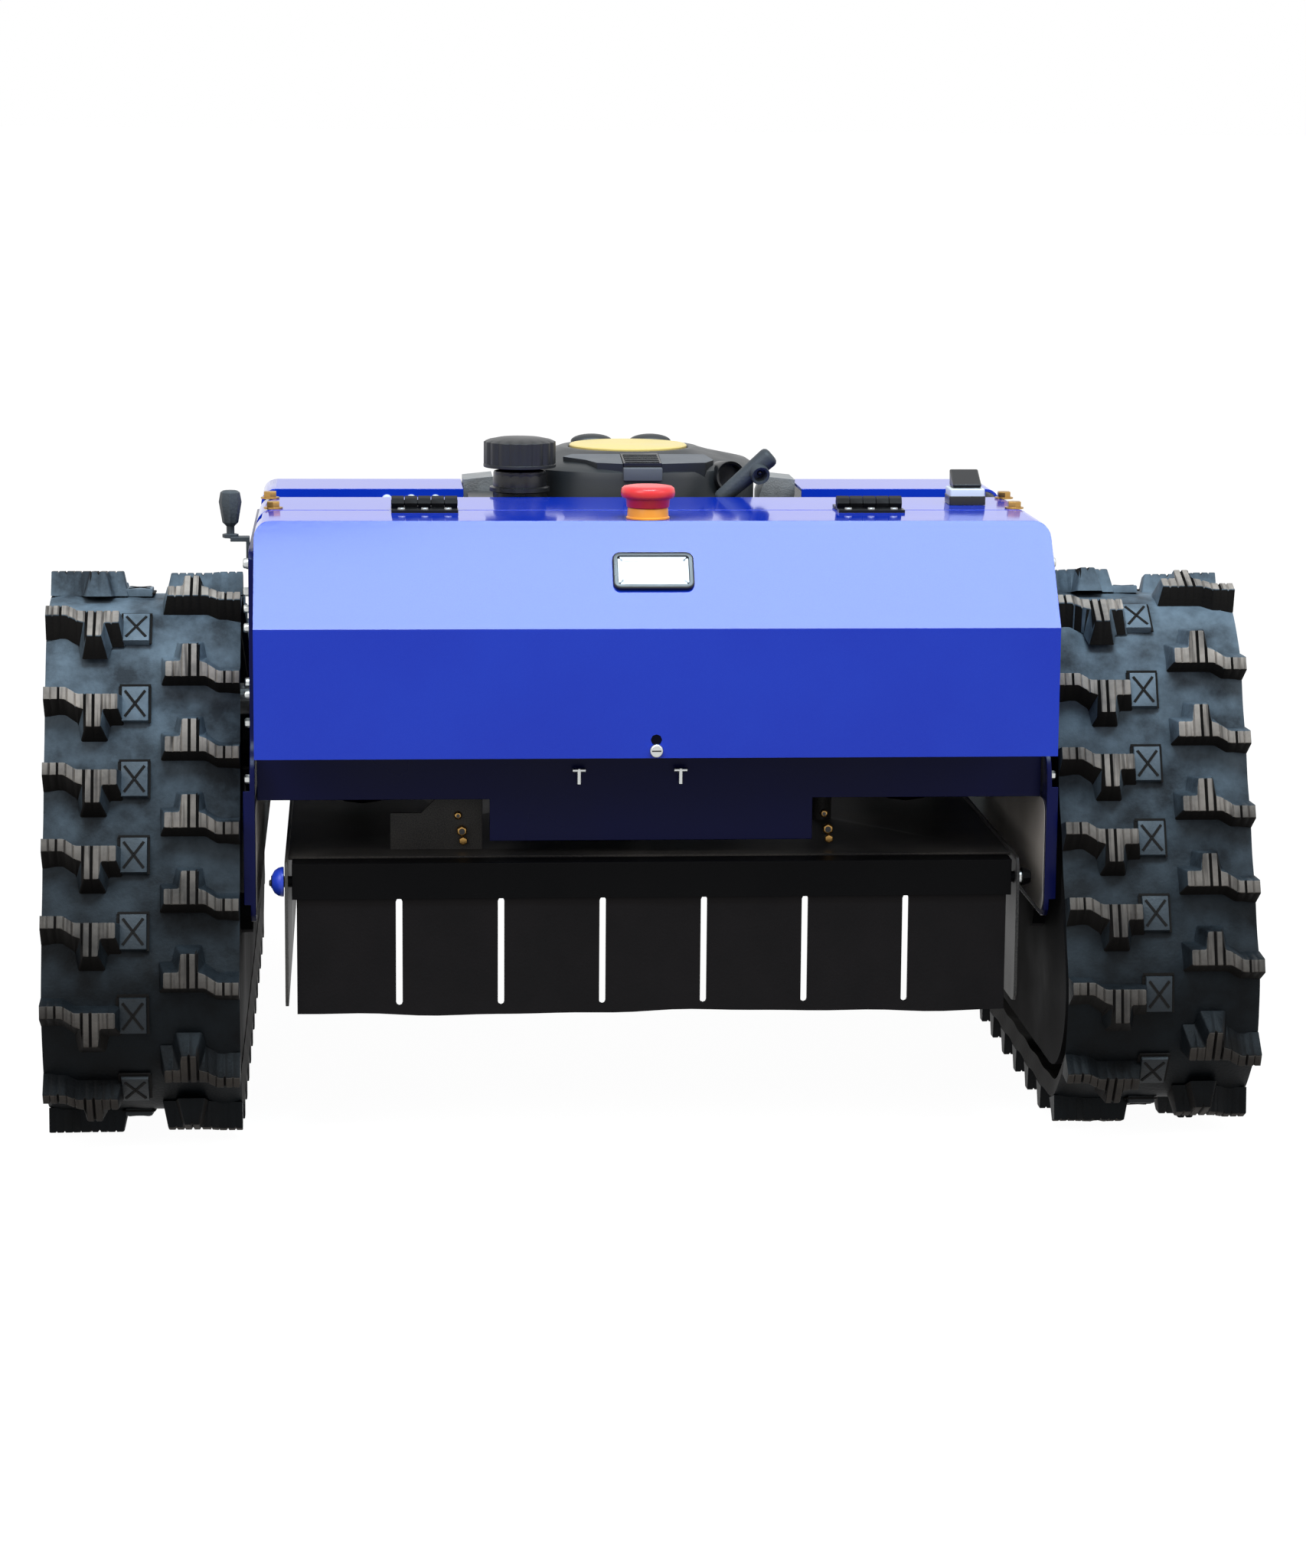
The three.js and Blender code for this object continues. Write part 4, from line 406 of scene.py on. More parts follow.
# %% [markdown]
# ## Nodes whose shape is already right
# Folded sheet, plates and castings only lack the small radius that every real edge has. A copy of
# the node is merged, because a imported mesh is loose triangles, its flat regions are joined, and a
# bevel modifier then rounds the edges that are sharper than the chosen angle.

# %% A node with rounded edges
MERGE_DISTANCE, FLAT_ANGLE = 0.02, 0.8


def node_mesh(node):
    mesh = bmesh.new()
    mesh.from_mesh(frame["nodes"][node].data)
    bmesh.ops.remove_doubles(mesh, verts=mesh.verts, dist=MERGE_DISTANCE * MM)
    bmesh.ops.dissolve_limit(mesh, angle_limit=math.radians(FLAT_ANGLE), verts=mesh.verts, edges=mesh.edges,
                             delimit={"NORMAL"})
    for face in mesh.faces:
        face.material_index = 0
    return mesh


def rounded_copy(node, finish, bevel):
    return piece(node + "_finished", node_mesh(node), finish, BODY_OF[node], node, bevel=bevel)


rounded = {
    "top_plate": (blue_coat, 0.5), "rear_cover": (blue_coat, 0.5), "front_tray": (wall_shade_coat, 0.5),
    "side_plate_left": (side_shade_coat, 0.6), "side_plate_right": (side_shade_coat, 0.6),
    "front_flap": (flap_coat, 0.9), "rear_flap": (flap_coat, 0.9),
    "track_frame_left": (frame_coat, 0.8), "track_frame_right": (frame_coat, 0.8),
    "front_guide_beam": (black_coat, 0.6), "rear_guide_beam": (black_coat, 0.6),
    "crankcase": (cast_metal, 1.0), "air_filter": (charcoal_nylon, 1.2),
}
for node, (finish, bevel) in rounded.items():
    rounded_copy(node, finish, bevel)
print("rounded", len(rounded))

# %% [markdown]
# The front cover carries the front leaves of its hinges, which are black, so the faces that stand
# on its top lip take a second finish. The deck's raised side edges are lowered to where the photo
# shows them.

# %% Front cover with hinge leaves, and the deck
HINGE_REACH = 30
DECK_EDGE_X, DECK_EDGE_HEIGHT = 277, 221.5

cover = node_mesh("front_cover")
for face in cover.faces:
    centre = face.calc_center_median() / MM
    on_hinge = centre.z > TOP_HEIGHT + 0.5 and abs(abs(centre.x) - HINGE_OFFSET) < HINGE_REACH
    face.material_index = 1 if on_hinge else 0
piece("front_cover_finished", cover, [blue_coat, hinge_coat], "front_cover", "front_cover", bevel=0.5)
deck = rounded_copy("deck_shell", deck_dust_and_sheen_coat, 0.4)
for vert in deck.data.vertices:
    if abs(vert.co.x) > DECK_EDGE_X * MM and vert.co.z > (DECK_EDGE_HEIGHT + 0.5) * MM:
        vert.co.z = DECK_EDGE_HEIGHT * MM
print("deck's edges at", DECK_EDGE_HEIGHT)

# %% [markdown]
# The nodes that hardly show keep their own mesh and only get the finish of the real thing.

# %% Finishes for the rest
plain = {
    "battery_left": battery_case, "battery_right": battery_case, "motor_controller": cast_metal,
    "lift_actuator": black_coat, "actuator_rod": zinc, "crankshaft": bare_steel, "blade": bare_steel,
    "fuel_tank": black_abs_and_recess_shade, "muffler": hot_steel, "drive_motor_left": black_coat,
    "drive_motor_right": black_coat, "gearbox_left": cast_metal, "gearbox_right": cast_metal,
    "cover_hinge_left": hinge_coat, "cover_hinge_right": hinge_coat, "latch_screw": zinc,
    "rocker": black_abs_and_recess_shade, "power_switch": black_abs_and_recess_shade, "display": black_abs_and_recess_shade, "stop_button": red_abs,
    "stop_button_base": orange_abs, "antenna": tube_rubber, "recoil_handle": tube_rubber,
    "front_cover": blue_coat, "blower_housing": charcoal_nylon, "deck_shell": deck_dust_and_sheen_coat,
    "fuel_cap": cap_nylon, "front_curtain": curtain_rubber, "rear_curtain": curtain_rubber,
    "rubber_track_left": belt_rubber, "rubber_track_right": belt_rubber,
}
for node, thing in frame["nodes"].items():
    finish = plain.get(node) or rounded.get(node, (black_coat,))[0]
    if any(word in node for word in ("idler", "roller")):
        finish = wheel_rubber
    if "sprocket" in node:
        finish = cast_metal
    thing.data.materials.clear()
    thing.data.materials.append(finish)
print("finished nodes", len(frame["nodes"]))

# %% [markdown]
# ## Screws, bolts and nuts
# Fasteners are turned or forged, so each starts as a short cylinder whose rims are bevelled: a
# pan head gets a wide bevel that makes it a dome, a nut is a six-sided one, and a drive is a dark
# disc on the head that stands for the shade in its recess, a painted shade. First come the small
# tools that every shape below uses.

# %% Tools for meshes
def moved(mesh, matrix):
    bmesh.ops.transform(mesh, matrix=matrix, verts=mesh.verts)
    return mesh


def shifted(mesh, way):
    bmesh.ops.translate(mesh, vec=way, verts=mesh.verts)
    return mesh


def turned(mesh, centre, angle, axis):
    bmesh.ops.rotate(mesh, cent=centre, matrix=Matrix.Rotation(angle, 3, axis), verts=mesh.verts)
    return mesh


def turn_towards(direction):
    return Vector(direction).to_track_quat("Z", "Y").to_matrix().to_4x4()


def round_edges(mesh, edges, radius, segments=3):
    bmesh.ops.bevel(mesh, geom=list(edges), offset=radius * MM, segments=segments, profile=0.5,
                    affect="EDGES", material=-1)


def inset(mesh, face, width, depth=0.0):
    bmesh.ops.inset_region(mesh, faces=[face], thickness=width * MM, depth=depth * MM)


def top_face(mesh):
    return max(mesh.faces, key=lambda face: face.calc_center_median().z)


def slotted(mesh, slot):
    for face in mesh.faces:
        face.material_index = slot
    return mesh


def add_mesh(into, other):
    data = bpy.data.meshes.new("part_of_piece")
    other.to_mesh(data)
    other.free()
    into.from_mesh(data)
    bpy.data.meshes.remove(data)


def together(*meshes):
    whole = bmesh.new()
    for mesh in meshes:
        add_mesh(whole, mesh)
    return whole


print("mesh tools ready")


# %% Cylinders, boxes, rods and turned shapes
def cylinder(radius, length, sides, end_radius=None):
    mesh = bmesh.new()
    bmesh.ops.create_cone(mesh, cap_ends=True, segments=sides, radius1=radius * MM,
                          radius2=(radius if end_radius is None else end_radius) * MM, depth=length)
    return mesh


def head(place, direction, radius, height, sides=24, dome=0.35, drive=0, drive_sides=6):
    mesh = shifted(cylinder(radius, height * MM, sides), (0, 0, height * MM / 2))
    round_edges(mesh, top_face(mesh).edges, min(radius, height) * dome, 4)
    if drive:
        # The drive is a thin dark disc on the head: painted shade for its recess.
        drive_shade = shifted(cylinder(drive, 0.4 * MM, drive_sides), (0, 0, (height + 0.05) * MM))
        add_mesh(mesh, slotted(drive_shade, 1))
    return moved(mesh, Matrix.Translation(place) @ turn_towards(direction))


def cuboid(size, middle):
    mesh = bmesh.new()
    bmesh.ops.create_cube(mesh, size=1.0)
    bmesh.ops.scale(mesh, vec=[s * MM for s in size], verts=mesh.verts)
    return shifted(mesh, middle)


def box_mesh(low, high, bevel=0.0):
    middle = at(*[(a + b) / 2 for a, b in zip(low, high)])
    mesh = cuboid([b - a for a, b in zip(low, high)], middle)
    if bevel:
        round_edges(mesh, mesh.edges, bevel)
    return mesh


def rod_mesh(start, end, radius, sides=20, end_radius=None, bevel=0.0):
    run = end - start
    mesh = cylinder(radius, run.length, sides, end_radius)
    if bevel:
        rims = {edge for face in mesh.faces if len(face.verts) > 4 for edge in face.edges}
        round_edges(mesh, rims, bevel)
    return moved(mesh, Matrix.Translation((start + end) / 2) @ turn_towards(run))


def spun_mesh(profile, centre, direction=UP, steps=40):
    mesh = bmesh.new()
    verts = [mesh.verts.new((radius * MM, 0, height * MM)) for radius, height in profile]
    edges = [mesh.edges.new(pair) for pair in zip(verts, verts[1:])]
    bmesh.ops.spin(mesh, geom=verts + edges, cent=(0, 0, 0), axis=UP, angle=2 * math.pi, steps=steps,
                   use_merge=True)
    bmesh.ops.remove_doubles(mesh, verts=mesh.verts, dist=0.01 * MM)
    bmesh.ops.recalc_face_normals(mesh, faces=mesh.faces)
    return moved(mesh, Matrix.Translation(centre) @ turn_towards(direction))


def cut_across(mesh, x, near=1e-7):
    bmesh.ops.bisect_plane(mesh, geom=mesh.verts[:] + mesh.edges[:] + mesh.faces[:], dist=near,
                           plane_co=(x * MM, 0, 0), plane_no=(1, 0, 0))


print("shape tools ready")

# %% [markdown]
# ## Tracks
# A track is one endless belt on three wheels. Its path is drawn as the line that a taut string
# takes round them: arcs on the wheels and straight runs between. Every lug is the same moulded
# form, so one is modelled flat and then laid along the path, 34 times in each of two columns, the
# second column turned half round and a quarter of a link behind the first.

# %% The belt's path
PITCH, LINKS, PITCH_RADIUS, SPROCKET_TEETH = 60.0, 34, 86.0, 8
BELT_WIDTH, BELT_OUT, BELT_IN, LUG_HEIGHT = 150.0, 8.0, 7.0, 17.0


def wheel_centre(node):
    low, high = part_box(node)
    return (low.y + high.y) / 2 / MM, (low.z + high.z) / 2 / MM


wheels = [(*wheel_centre("front_idler_left"), PITCH_RADIUS),
          (*wheel_centre("drive_sprocket_left"), SPROCKET_TEETH * PITCH / (2 * math.pi)),
          (*wheel_centre("rear_idler_left"), PITCH_RADIUS)]
spans = []
for (y0, z0, r0), (y1, z1, r1) in zip(wheels, wheels[1:] + wheels[:1]):
    length = math.hypot(y1 - y0, z1 - z0)
    tilt = math.asin((r0 - r1) / length)
    spans.append((math.atan2(z1 - z0, y1 - y0) + math.pi / 2 - tilt, length * math.cos(tilt)))
stretches = []
for i, (y, z, r) in enumerate(wheels):
    arrive, leave = spans[i - 1][0], spans[i][0]
    sweep = (arrive - leave) % (2 * math.pi)
    stretches.append((y, z, r, arrive, arrive - sweep, sweep * r, spans[i][1]))
BELT_LENGTH = sum(arc + run for *_, arc, run in stretches)
print("belt length", round(BELT_LENGTH, 1), "for", LINKS, "links of", PITCH)


# %% A place on the belt
def on_path(distance):
    left = distance % BELT_LENGTH
    for y, z, r, arrive, leave, arc, run in stretches:
        if left <= arc:
            angle = arrive - left / r
            return y + r * math.cos(angle), z + r * math.sin(angle), angle
        left -= arc
        if left <= run:
            return (y + r * math.cos(leave) + left * math.sin(leave),
                    z + r * math.sin(leave) - left * math.cos(leave), leave)
        left -= run
    return on_path(0)


def onto_belt(across, along, out):
    y, z, angle = on_path(along)
    return Vector((across * MM, (y + out * math.cos(angle)) * MM, (z + out * math.sin(angle)) * MM))


print("path starts at", [round(v, 1) for v in on_path(0)[:2]])

# %% [markdown]
# A lug is drawn as its outer face, stepped down from the belt's edge with a prong. Its foot on the
# belt is wider, mostly below, so the flanks slope. The face is scuffed; the flanks and the deep
# grooves are painted black, as painted shade.

# %% One lug, laid flat: x across from the belt's edge, y along, z out
BELT, LUG, SHADED_FLANK, PAD, GROOVE_SHADE = range(5)
LUG_TOP, LUG_FOOT = BELT_OUT + LUG_HEIGHT, BELT_OUT - 2.5
LUG_FACE = [(0, 6), (0, -4), (16, -4), (26, -10.5), (31, -12), (32.5, -26), (44, -26),
            (45.5, -12), (57, -12), (57, 0.5), (26, 0.5), (17, 6)]
LUG_GROOVES = [(5.4, 0.9, 1.3), (11.6, 1.0, 1.6), (18.0, 0.9, 1.3), (24.2, 1.0, 1.5), (31.8, 1.2, 1.9),
               (38.3, 1.2, 2.0), (44.6, 0.9, 1.4), (51.0, 1.0, 1.5)]
SHADED_GROOVE_DEPTH = 1.55
END_FLARE, PRONG_MIDDLE, PRONG_REACH, PRONG_FLARE = 4.0, 38, 10, 0.75
PRONG_SLOPE, LOWER_SLOPE, UPPER_SLOPE = 7.0, 8.5, 3.0


def lug_foot(x, y):
    low = y < -1
    if x > 50:
        x += END_FLARE
    elif low and abs(x - PRONG_MIDDLE) < PRONG_REACH:
        x += (x - PRONG_MIDDLE) * PRONG_FLARE
    if not low:
        return x, y + UPPER_SLOPE
    return x, y - (PRONG_SLOPE if y < -20 else LOWER_SLOPE)


def lug_mesh():
    mesh = bmesh.new()
    face = mesh.faces.new([mesh.verts.new((x * MM, y * MM, LUG_TOP * MM)) for x, y in LUG_FACE])
    made = bmesh.ops.extrude_face_region(mesh, geom=[face])
    for vert in (item for item in made["geom"] if isinstance(item, bmesh.types.BMVert)):
        x, y = lug_foot(vert.co.x / MM, vert.co.y / MM)
        vert.co = (x * MM, y * MM, LUG_FOOT * MM)
    bmesh.ops.recalc_face_normals(mesh, faces=mesh.faces)
    near_top = (LUG_TOP - 1) * MM
    # Faces below the lug's top are flanks, which take the black of painted shade.
    for one in mesh.faces:
        one.material_index = LUG if one.calc_center_median().z > near_top else SHADED_FLANK
    corners = [edge for edge in mesh.edges if abs(edge.verts[0].co.z - edge.verts[1].co.z) > 5 * MM
               and max(vert.co.x for vert in edge.verts) > 1 * MM]
    round_edges(mesh, corners, 1.3, 2)
    rim = [edge for edge in mesh.edges if all(vert.co.z > near_top for vert in edge.verts)
           and len(edge.link_faces) == 2
           and any(one.calc_center_median().z < near_top for one in edge.link_faces)]
    round_edges(mesh, rim, 0.9, 2)
    brow = (LUG_TOP - 2.2) * MM
    for middle, half, depth in LUG_GROOVES:
        for x in (middle - half, middle, middle + half):
            cut_across(mesh, x)
        for vert in mesh.verts:
            if abs(vert.co.x - middle * MM) < 1e-6 and vert.co.z > brow:
                vert.co.z -= depth * MM
        for one in mesh.faces:
            centre = one.calc_center_median()
            inside = abs(centre.x - middle * MM) < half * MM and centre.z > brow - depth * MM
            # Deep grooves are painted black, as painted shade.
            if depth > SHADED_GROOVE_DEPTH and inside:
                one.material_index = GROOVE_SHADE
    return mesh


print("lug grooves", len(LUG_GROOVES))

# %% The pad with its moulded cross, whose grooves are painted shade
PAD_SIZE, PAD_TOP = (20.5, 27.5, 6.0), BELT_OUT + 4.0
PAD_GROOVES = ((0, 14.9, 24.0, 2.8), (11.3, 0, 2.0, 29.0), (-11.5, 0, 2.4, 29.0))
RIB_SIZE, RIB_TURN, RIB_REACH = (2.0, 12.5, 1.0), math.radians(37), 6.6


def pad_mesh():
    mesh = cuboid(PAD_SIZE, (0, 0, (PAD_TOP - PAD_SIZE[2] / 2) * MM))
    upper = [edge for edge in mesh.edges if all(v.co.z > (PAD_TOP - 1) * MM for v in edge.verts)]
    round_edges(mesh, upper, 1.0, 2)
    slotted(mesh, PAD)
    # The pad's edge grooves and its cross are black boxes: painted shade for the recesses.
    for across, along, wide, long in PAD_GROOVES:
        groove = cuboid((wide, long, 1.2), (across * MM, along * MM, (BELT_OUT + 0.2) * MM))
        add_mesh(mesh, slotted(groove, GROOVE_SHADE))
    for turn in (RIB_TURN, -RIB_TURN):
        for reach in (RIB_REACH, -RIB_REACH):
            rib = turned(cuboid(RIB_SIZE, (0, 0, 0)), (0, 0, 0), turn, "Z")
            way = (-math.sin(turn) * reach * MM, math.cos(turn) * reach * MM, PAD_TOP * MM)
            add_mesh(mesh, slotted(shifted(rib, way), GROOVE_SHADE))
    return mesh


print("pad", PAD_SIZE)

# %% The belt itself
EDGE_START, EDGE_RUN, EDGE_DROP = 0.44, 0.06, 2.5
WAVE, BELT_SINK, COLUMN_LAG = 1.0, 1.2, 0.24
ROWS_PER_LINK, BELT_COLUMNS = 10, 14
LOOP_MIDDLE_HEIGHT = 150


def belt_mesh(phase):
    mesh = bmesh.new()
    bmesh.ops.create_grid(mesh, x_segments=BELT_COLUMNS, y_segments=LINKS * ROWS_PER_LINK, size=0.5)
    for vert in mesh.verts:
        share, along = vert.co.x, (vert.co.y + 0.5) * LINKS
        edge = max(0.0, abs(share) - EDGE_START) / EDGE_RUN
        wave = math.cos((along - phase - (0.0 if share < 0 else COLUMN_LAG)) * 2 * math.pi)
        out = BELT_OUT - BELT_SINK + WAVE * wave - EDGE_DROP * edge * edge
        vert.co = onto_belt(share * BELT_WIDTH, along * PITCH, out)
    bmesh.ops.remove_doubles(mesh, verts=mesh.verts, dist=0.2 * MM)
    bmesh.ops.recalc_face_normals(mesh, faces=mesh.faces)
    if top_face(mesh).normal.z < 0:
        bmesh.ops.reverse_faces(mesh, faces=mesh.faces)
    bmesh.ops.solidify(mesh, geom=mesh.faces, thickness=(BELT_OUT + BELT_IN - BELT_SINK) * MM)
    mesh.normal_update()
    middle = Vector((0, sum(y for y, *_ in wheels) / len(wheels) * MM, LOOP_MIDDLE_HEIGHT * MM))
    # The belt's inner and side faces are painted black, as painted shade.
    for face in mesh.faces:
        away = face.calc_center_median() - middle
        away.x = 0
        if face.normal.dot(away.normalized()) < 0.25:
            face.material_index = SHADED_FLANK
    return mesh


print("belt rows", LINKS * ROWS_PER_LINK)

# %% [markdown]
# Each lug and pad is laid as a copy of the flat one. The flanks that face up or along the path
# carry the bloom of the belt, and only those that face the ground or back are painted black, as
# painted shade.

# %% Lugs and pads laid on the belt
TRACK_INNER = 318.5
PHASE = {"left": 0.34, "right": 0.48}
PAD_ACROSS, PAD_LEAD = -5.5, 4
# The flank and groove slots both take the black rubber of painted shade.
TRACK_FINISHES = [belt_rubber, lug_rubber, shade_black_rubber, pad_rubber, shade_black_rubber]


def laid(flat, across, along, turned_round=False):
    _, _, angle = on_path(along)
    out = Vector((0, math.cos(angle), math.sin(angle)))
    side = Vector((1, 0, 0))
    forward = out.cross(side)
    basis = Matrix((side, forward, out)).transposed().to_4x4()
    spin = Matrix.Rotation(math.pi, 4, "Z") if turned_round else Matrix.Identity(4)
    mesh = moved(flat.copy(), Matrix.Translation(onto_belt(across, along, 0)) @ basis @ spin)
    mesh.normal_update()
    for face in mesh.faces:
        if face.material_index == SHADED_FLANK and (face.normal.dot(forward) > 0.2 or face.normal.z > -0.12):
            face.material_index = BELT
    return mesh


for word, side in SIDES:
    parts = [belt_mesh(PHASE[word])]
    lug, pad = lug_mesh(), pad_mesh()
    for i in range(LINKS):
        along = (i + PHASE[word]) * PITCH
        parts.append(laid(lug, -BELT_WIDTH / 2, along))
        parts.append(laid(lug, BELT_WIDTH / 2, along + COLUMN_LAG * PITCH, True))
        parts.append(laid(pad, PAD_ACROSS, along - PAD_LEAD))
    track = shifted(together(*parts), (side * (TRACK_INNER + BELT_WIDTH / 2) * MM, 0, 0))
    for vert in track.verts:
        vert.co.z = max(vert.co.z, 0.0)
    thing = piece("rubber_track_finished_" + word, track, TRACK_FINISHES, "chassis", "rubber_track_" + word,
                  angle=40)
    print(thing.name, "faces", len(thing.data.polygons))

# %% [markdown]
# Every wheel turns on an axle that is welded into the track frame. A washer and a hexagon bolt hold
# the wheel on, so each axle shows a plated head on the outside.

# %% Axle bolts
WHEELS = ("front_idler_", "rear_idler_", "carrier_roller_", "road_roller_1_", "road_roller_2_",
          "road_roller_3_")

for word, side in SIDES:
    low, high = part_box("track_frame_" + word)
    end = low.x if side < 0 else high.x
    heads = []
    for wheel in WHEELS:
        y, z = wheel_centre(wheel + word)
        place = Vector((end, y * MM, z * MM))
        outer = place + Vector((side * 1.3 * MM, 0, 0))
        heads.append(head(place, (side, 0, 0), 11.5, 1.4, dome=0.3))
        heads.append(head(outer, (side, 0, 0), 8.0, 5.2, sides=6, dome=0.15))
    piece("axle_bolts_" + word, together(*heads), zinc, "chassis")
    print("axle bolts at x =", round(end, 4))

# %% [markdown]
# ## Display
# The voltage display is a snap-in panel meter: a glossy black frame with rounded corners and a
# frosted window behind which the pale glass of the display lies. It sits on the sloping panel, so
# it is modelled flat and then turned onto the slope.

# %% The meter on the slope
METER_X, METER_HEIGHT = -3, 445


def on_slope(x, height):
    share = (height - FOLD_HEIGHT) / (TOP_HEIGHT - FOLD_HEIGHT)
    up = Vector((0, SLOPE_DEPTH, TOP_HEIGHT - FOLD_HEIGHT)).normalized()
    side = Vector((1, 0, 0))
    basis = Matrix((side, up, side.cross(up))).transposed().to_4x4()
    return Matrix.Translation(at(x, share * SLOPE_DEPTH, height)) @ basis


def rounded_plate(width, tall, z0, z1, corner, rim):
    mesh = cuboid((width, tall, z1 - z0), (0, 0, (z0 + z1) / 2 * MM))
    upright = [e for e in mesh.edges if abs(e.verts[0].co.z - e.verts[1].co.z) > 1e-6]
    round_edges(mesh, upright, corner, 6)
    round_edges(mesh, top_face(mesh).edges, rim)
    return mesh


meter = rounded_plate(62, 33, 0.3, 3.6, 6, 1.2)
window = top_face(meter)
inset(meter, window, 2.3)
inset(meter, window, 0.6, -1.2)
window.material_index = 1
inset(meter, window, 4.0)
inset(meter, window, 0.4, -0.3)
window.material_index = 2
moved(meter, on_slope(METER_X, METER_HEIGHT))
meter = piece("display_finished", meter, [black_abs_and_recess_shade, white_abs, lens_face], "front_cover", "display")
print(meter.name, len(meter.data.polygons))

# %% [markdown]
# ## Emergency stop
# A mushroom head of bright red plastic over a yellow ring. Both are turned shapes, so a short
# profile is spun: the head is undercut like a cone and softly rounded on top. Its skirt is hollow
# and slides down over the ring, and its stem runs in the ring's bore, so it can be pressed.

# %% Ring and mushroom
STOP_X, STOP_DEPTH, STOP_HEAD_HEIGHT = -4, 80, 493.0
RING_PROFILE = [(0, 0), (16.8, 0), (16.8, 1.2), (16.0, 1.8), (15.6, 7.6), (15.2, 8.4), (13.0, 8.6),
                (7.4, 8.6), (6.8, 8.2), (6.8, 2.0), (0, 2.0)]
MUSHROOM_PROFILE = [(0, -4), (6.0, -4), (6.0, 0.8), (15.95, 0.8), (15.95, -2.8), (16.2, -3.0), (16.5, -2.7),
                    (17.0, 3.0), (17.6, 3.6), (19.8, 4.4), (20.7, 6.0), (20.9, 9.0), (20.2, 11.6),
                    (18.6, 12.9), (15.0, 13.5), (7.0, 13.8), (0, 13.9)]

ring = spun_mesh(RING_PROFILE, at(STOP_X, STOP_DEPTH, TOP_HEIGHT + 0.2), steps=48)
piece("stop_ring_finished", ring, orange_abs, "front_cover", "stop_button_base", angle=40)
mushroom = spun_mesh(MUSHROOM_PROFILE, at(STOP_X, STOP_DEPTH, STOP_HEAD_HEIGHT), steps=64)
piece("stop_mushroom_finished", mushroom, red_abs, "stop_button", "stop_button", angle=50)
print("stop button", 2 * max(radius for radius, _ in MUSHROOM_PROFILE), "mm wide")

# %% [markdown]
# ## Latch, hinges and top bolts
# A quarter-turn screw with a slotted pan head holds the cover's foot. The hinges carry three
# screws on each leaf. Four plated hexagon bolts hold the top plate to the side plates.

# %% Small hardware on the cover and top plate
LATCH_X, LATCH_HEIGHT = -2, 313
HINGE_SCREW_HEIGHT = 483.3
HINGE_SCREW_STEPS = (-18, 0, 18)
TOP_BOLTS = ((293, 152), (297, 228))

screw = head(at(LATCH_X, -0.3, LATCH_HEIGHT), FRONT, 5.2, 3.4, dome=0.55)
# The slot is a thin black box on the head: painted shade for the slot's recess.
slot = box_mesh((LATCH_X - 3.6, -3.95, LATCH_HEIGHT - 0.5), (LATCH_X + 3.6, -3.6, LATCH_HEIGHT + 0.5))
stem = rod_mesh(at(LATCH_X, -1, LATCH_HEIGHT), at(LATCH_X, 11, LATCH_HEIGHT), 2.3)
latch = together(screw, slotted(slot, 1), stem)
piece("latch_screw_finished", latch, [zinc, black_abs_and_recess_shade], "latch_screw", "latch_screw")

for word, side in SIDES:
    for row, depth, body in (("rear_", 154, "chassis"), ("front_", 124, "front_cover")):
        heads = [head(at(side * HINGE_OFFSET + step, depth, HINGE_SCREW_HEIGHT), UP, 3.1, 1.4, dome=0.6,
                      drive=1.3) for step in HINGE_SCREW_STEPS]
        piece("hinge_screws_" + row + word, together(*heads), [bare_steel, black_abs_and_recess_shade], body)
    bolts = []
    for x, depth in TOP_BOLTS:
        bolts.append(head(at(side * x, depth, TOP_HEIGHT), UP, 7.5, 1.2, dome=0.2))
        bolts.append(head(at(side * x, depth, TOP_HEIGHT + 1.1), UP, 5.6, 4.6, sides=6, dome=0.12))
    piece("top_plate_bolts_" + word, together(*bolts), brass, "chassis")
print("cover hardware done")

# %% [markdown]
# ## Power switch
# A snap-in rocker switch: a black socket, a silver frame and a tall black rocker.

# %% Switch and rocker
SWITCH_PLACE = at(259, 188, 481.3)

socket = rounded_plate(29, 28, 0, 7, 1.5, 0.6)
band = rounded_plate(28, 27, 7, 13, 2.0, 1.4)
hollow = top_face(band)
inset(band, hollow, 1.0)
inset(band, hollow, 0.2, -4.0)
switch = shifted(together(socket, slotted(band, 1)), SWITCH_PLACE)
piece("power_switch_finished", switch, [black_abs_and_recess_shade, white_abs], "chassis", "power_switch")
rounded_copy("rocker", black_abs_and_recess_shade, 1.2)
print("switch at", [round(v, 3) for v in SWITCH_PLACE])

# %% [markdown]
# ## Front wall screws
# Two small screws stand out of the dark wall under the cover, each with a washer-like cross piece.

# %% Two screws
WALL_SCREWS = (("left", -57), ("right", 22))
CROSS_DEPTH = 64.5

for word, x in WALL_SCREWS:
    foot = rod_mesh(at(x, 73, 283), at(x, CROSS_DEPTH, 283), 1.6)
    bar = rod_mesh(at(x - 5, CROSS_DEPTH, 287), at(x + 5, CROSS_DEPTH, 287), 1.7)
    shank = rod_mesh(at(x, CROSS_DEPTH, 288), at(x, CROSS_DEPTH, 276), 1.7)
    piece("wall_screw_" + word, together(foot, bar, shank), zinc, "chassis")
print("wall screws", len(WALL_SCREWS))

# %% [markdown]
# ## Deck
# The front flap hangs on a rod with a blue cap nut at one end and a bright end at the other. The
# rubber curtain is clamped behind it. Grey stepped brackets and plated nuts hold the lift.

# %% Rod ends, bracket and nuts
ROD_DEPTH, ROD_HEIGHT = 47, 204
CAP_NUT_X, CAP_TIP_X, ROD_END_X = -285.3, -294.0, 285.0
BRACKETS_X, BRACKET_DEPTH = (-147, 141), 96.9
CAP_NUT_PROFILE = [(0, 0), (11.4, 0), (11.6, 1.2), (10.8, 4.2), (8.6, 7.2), (5.2, 9.0), (3.0, 9.4), (0, 9.5)]

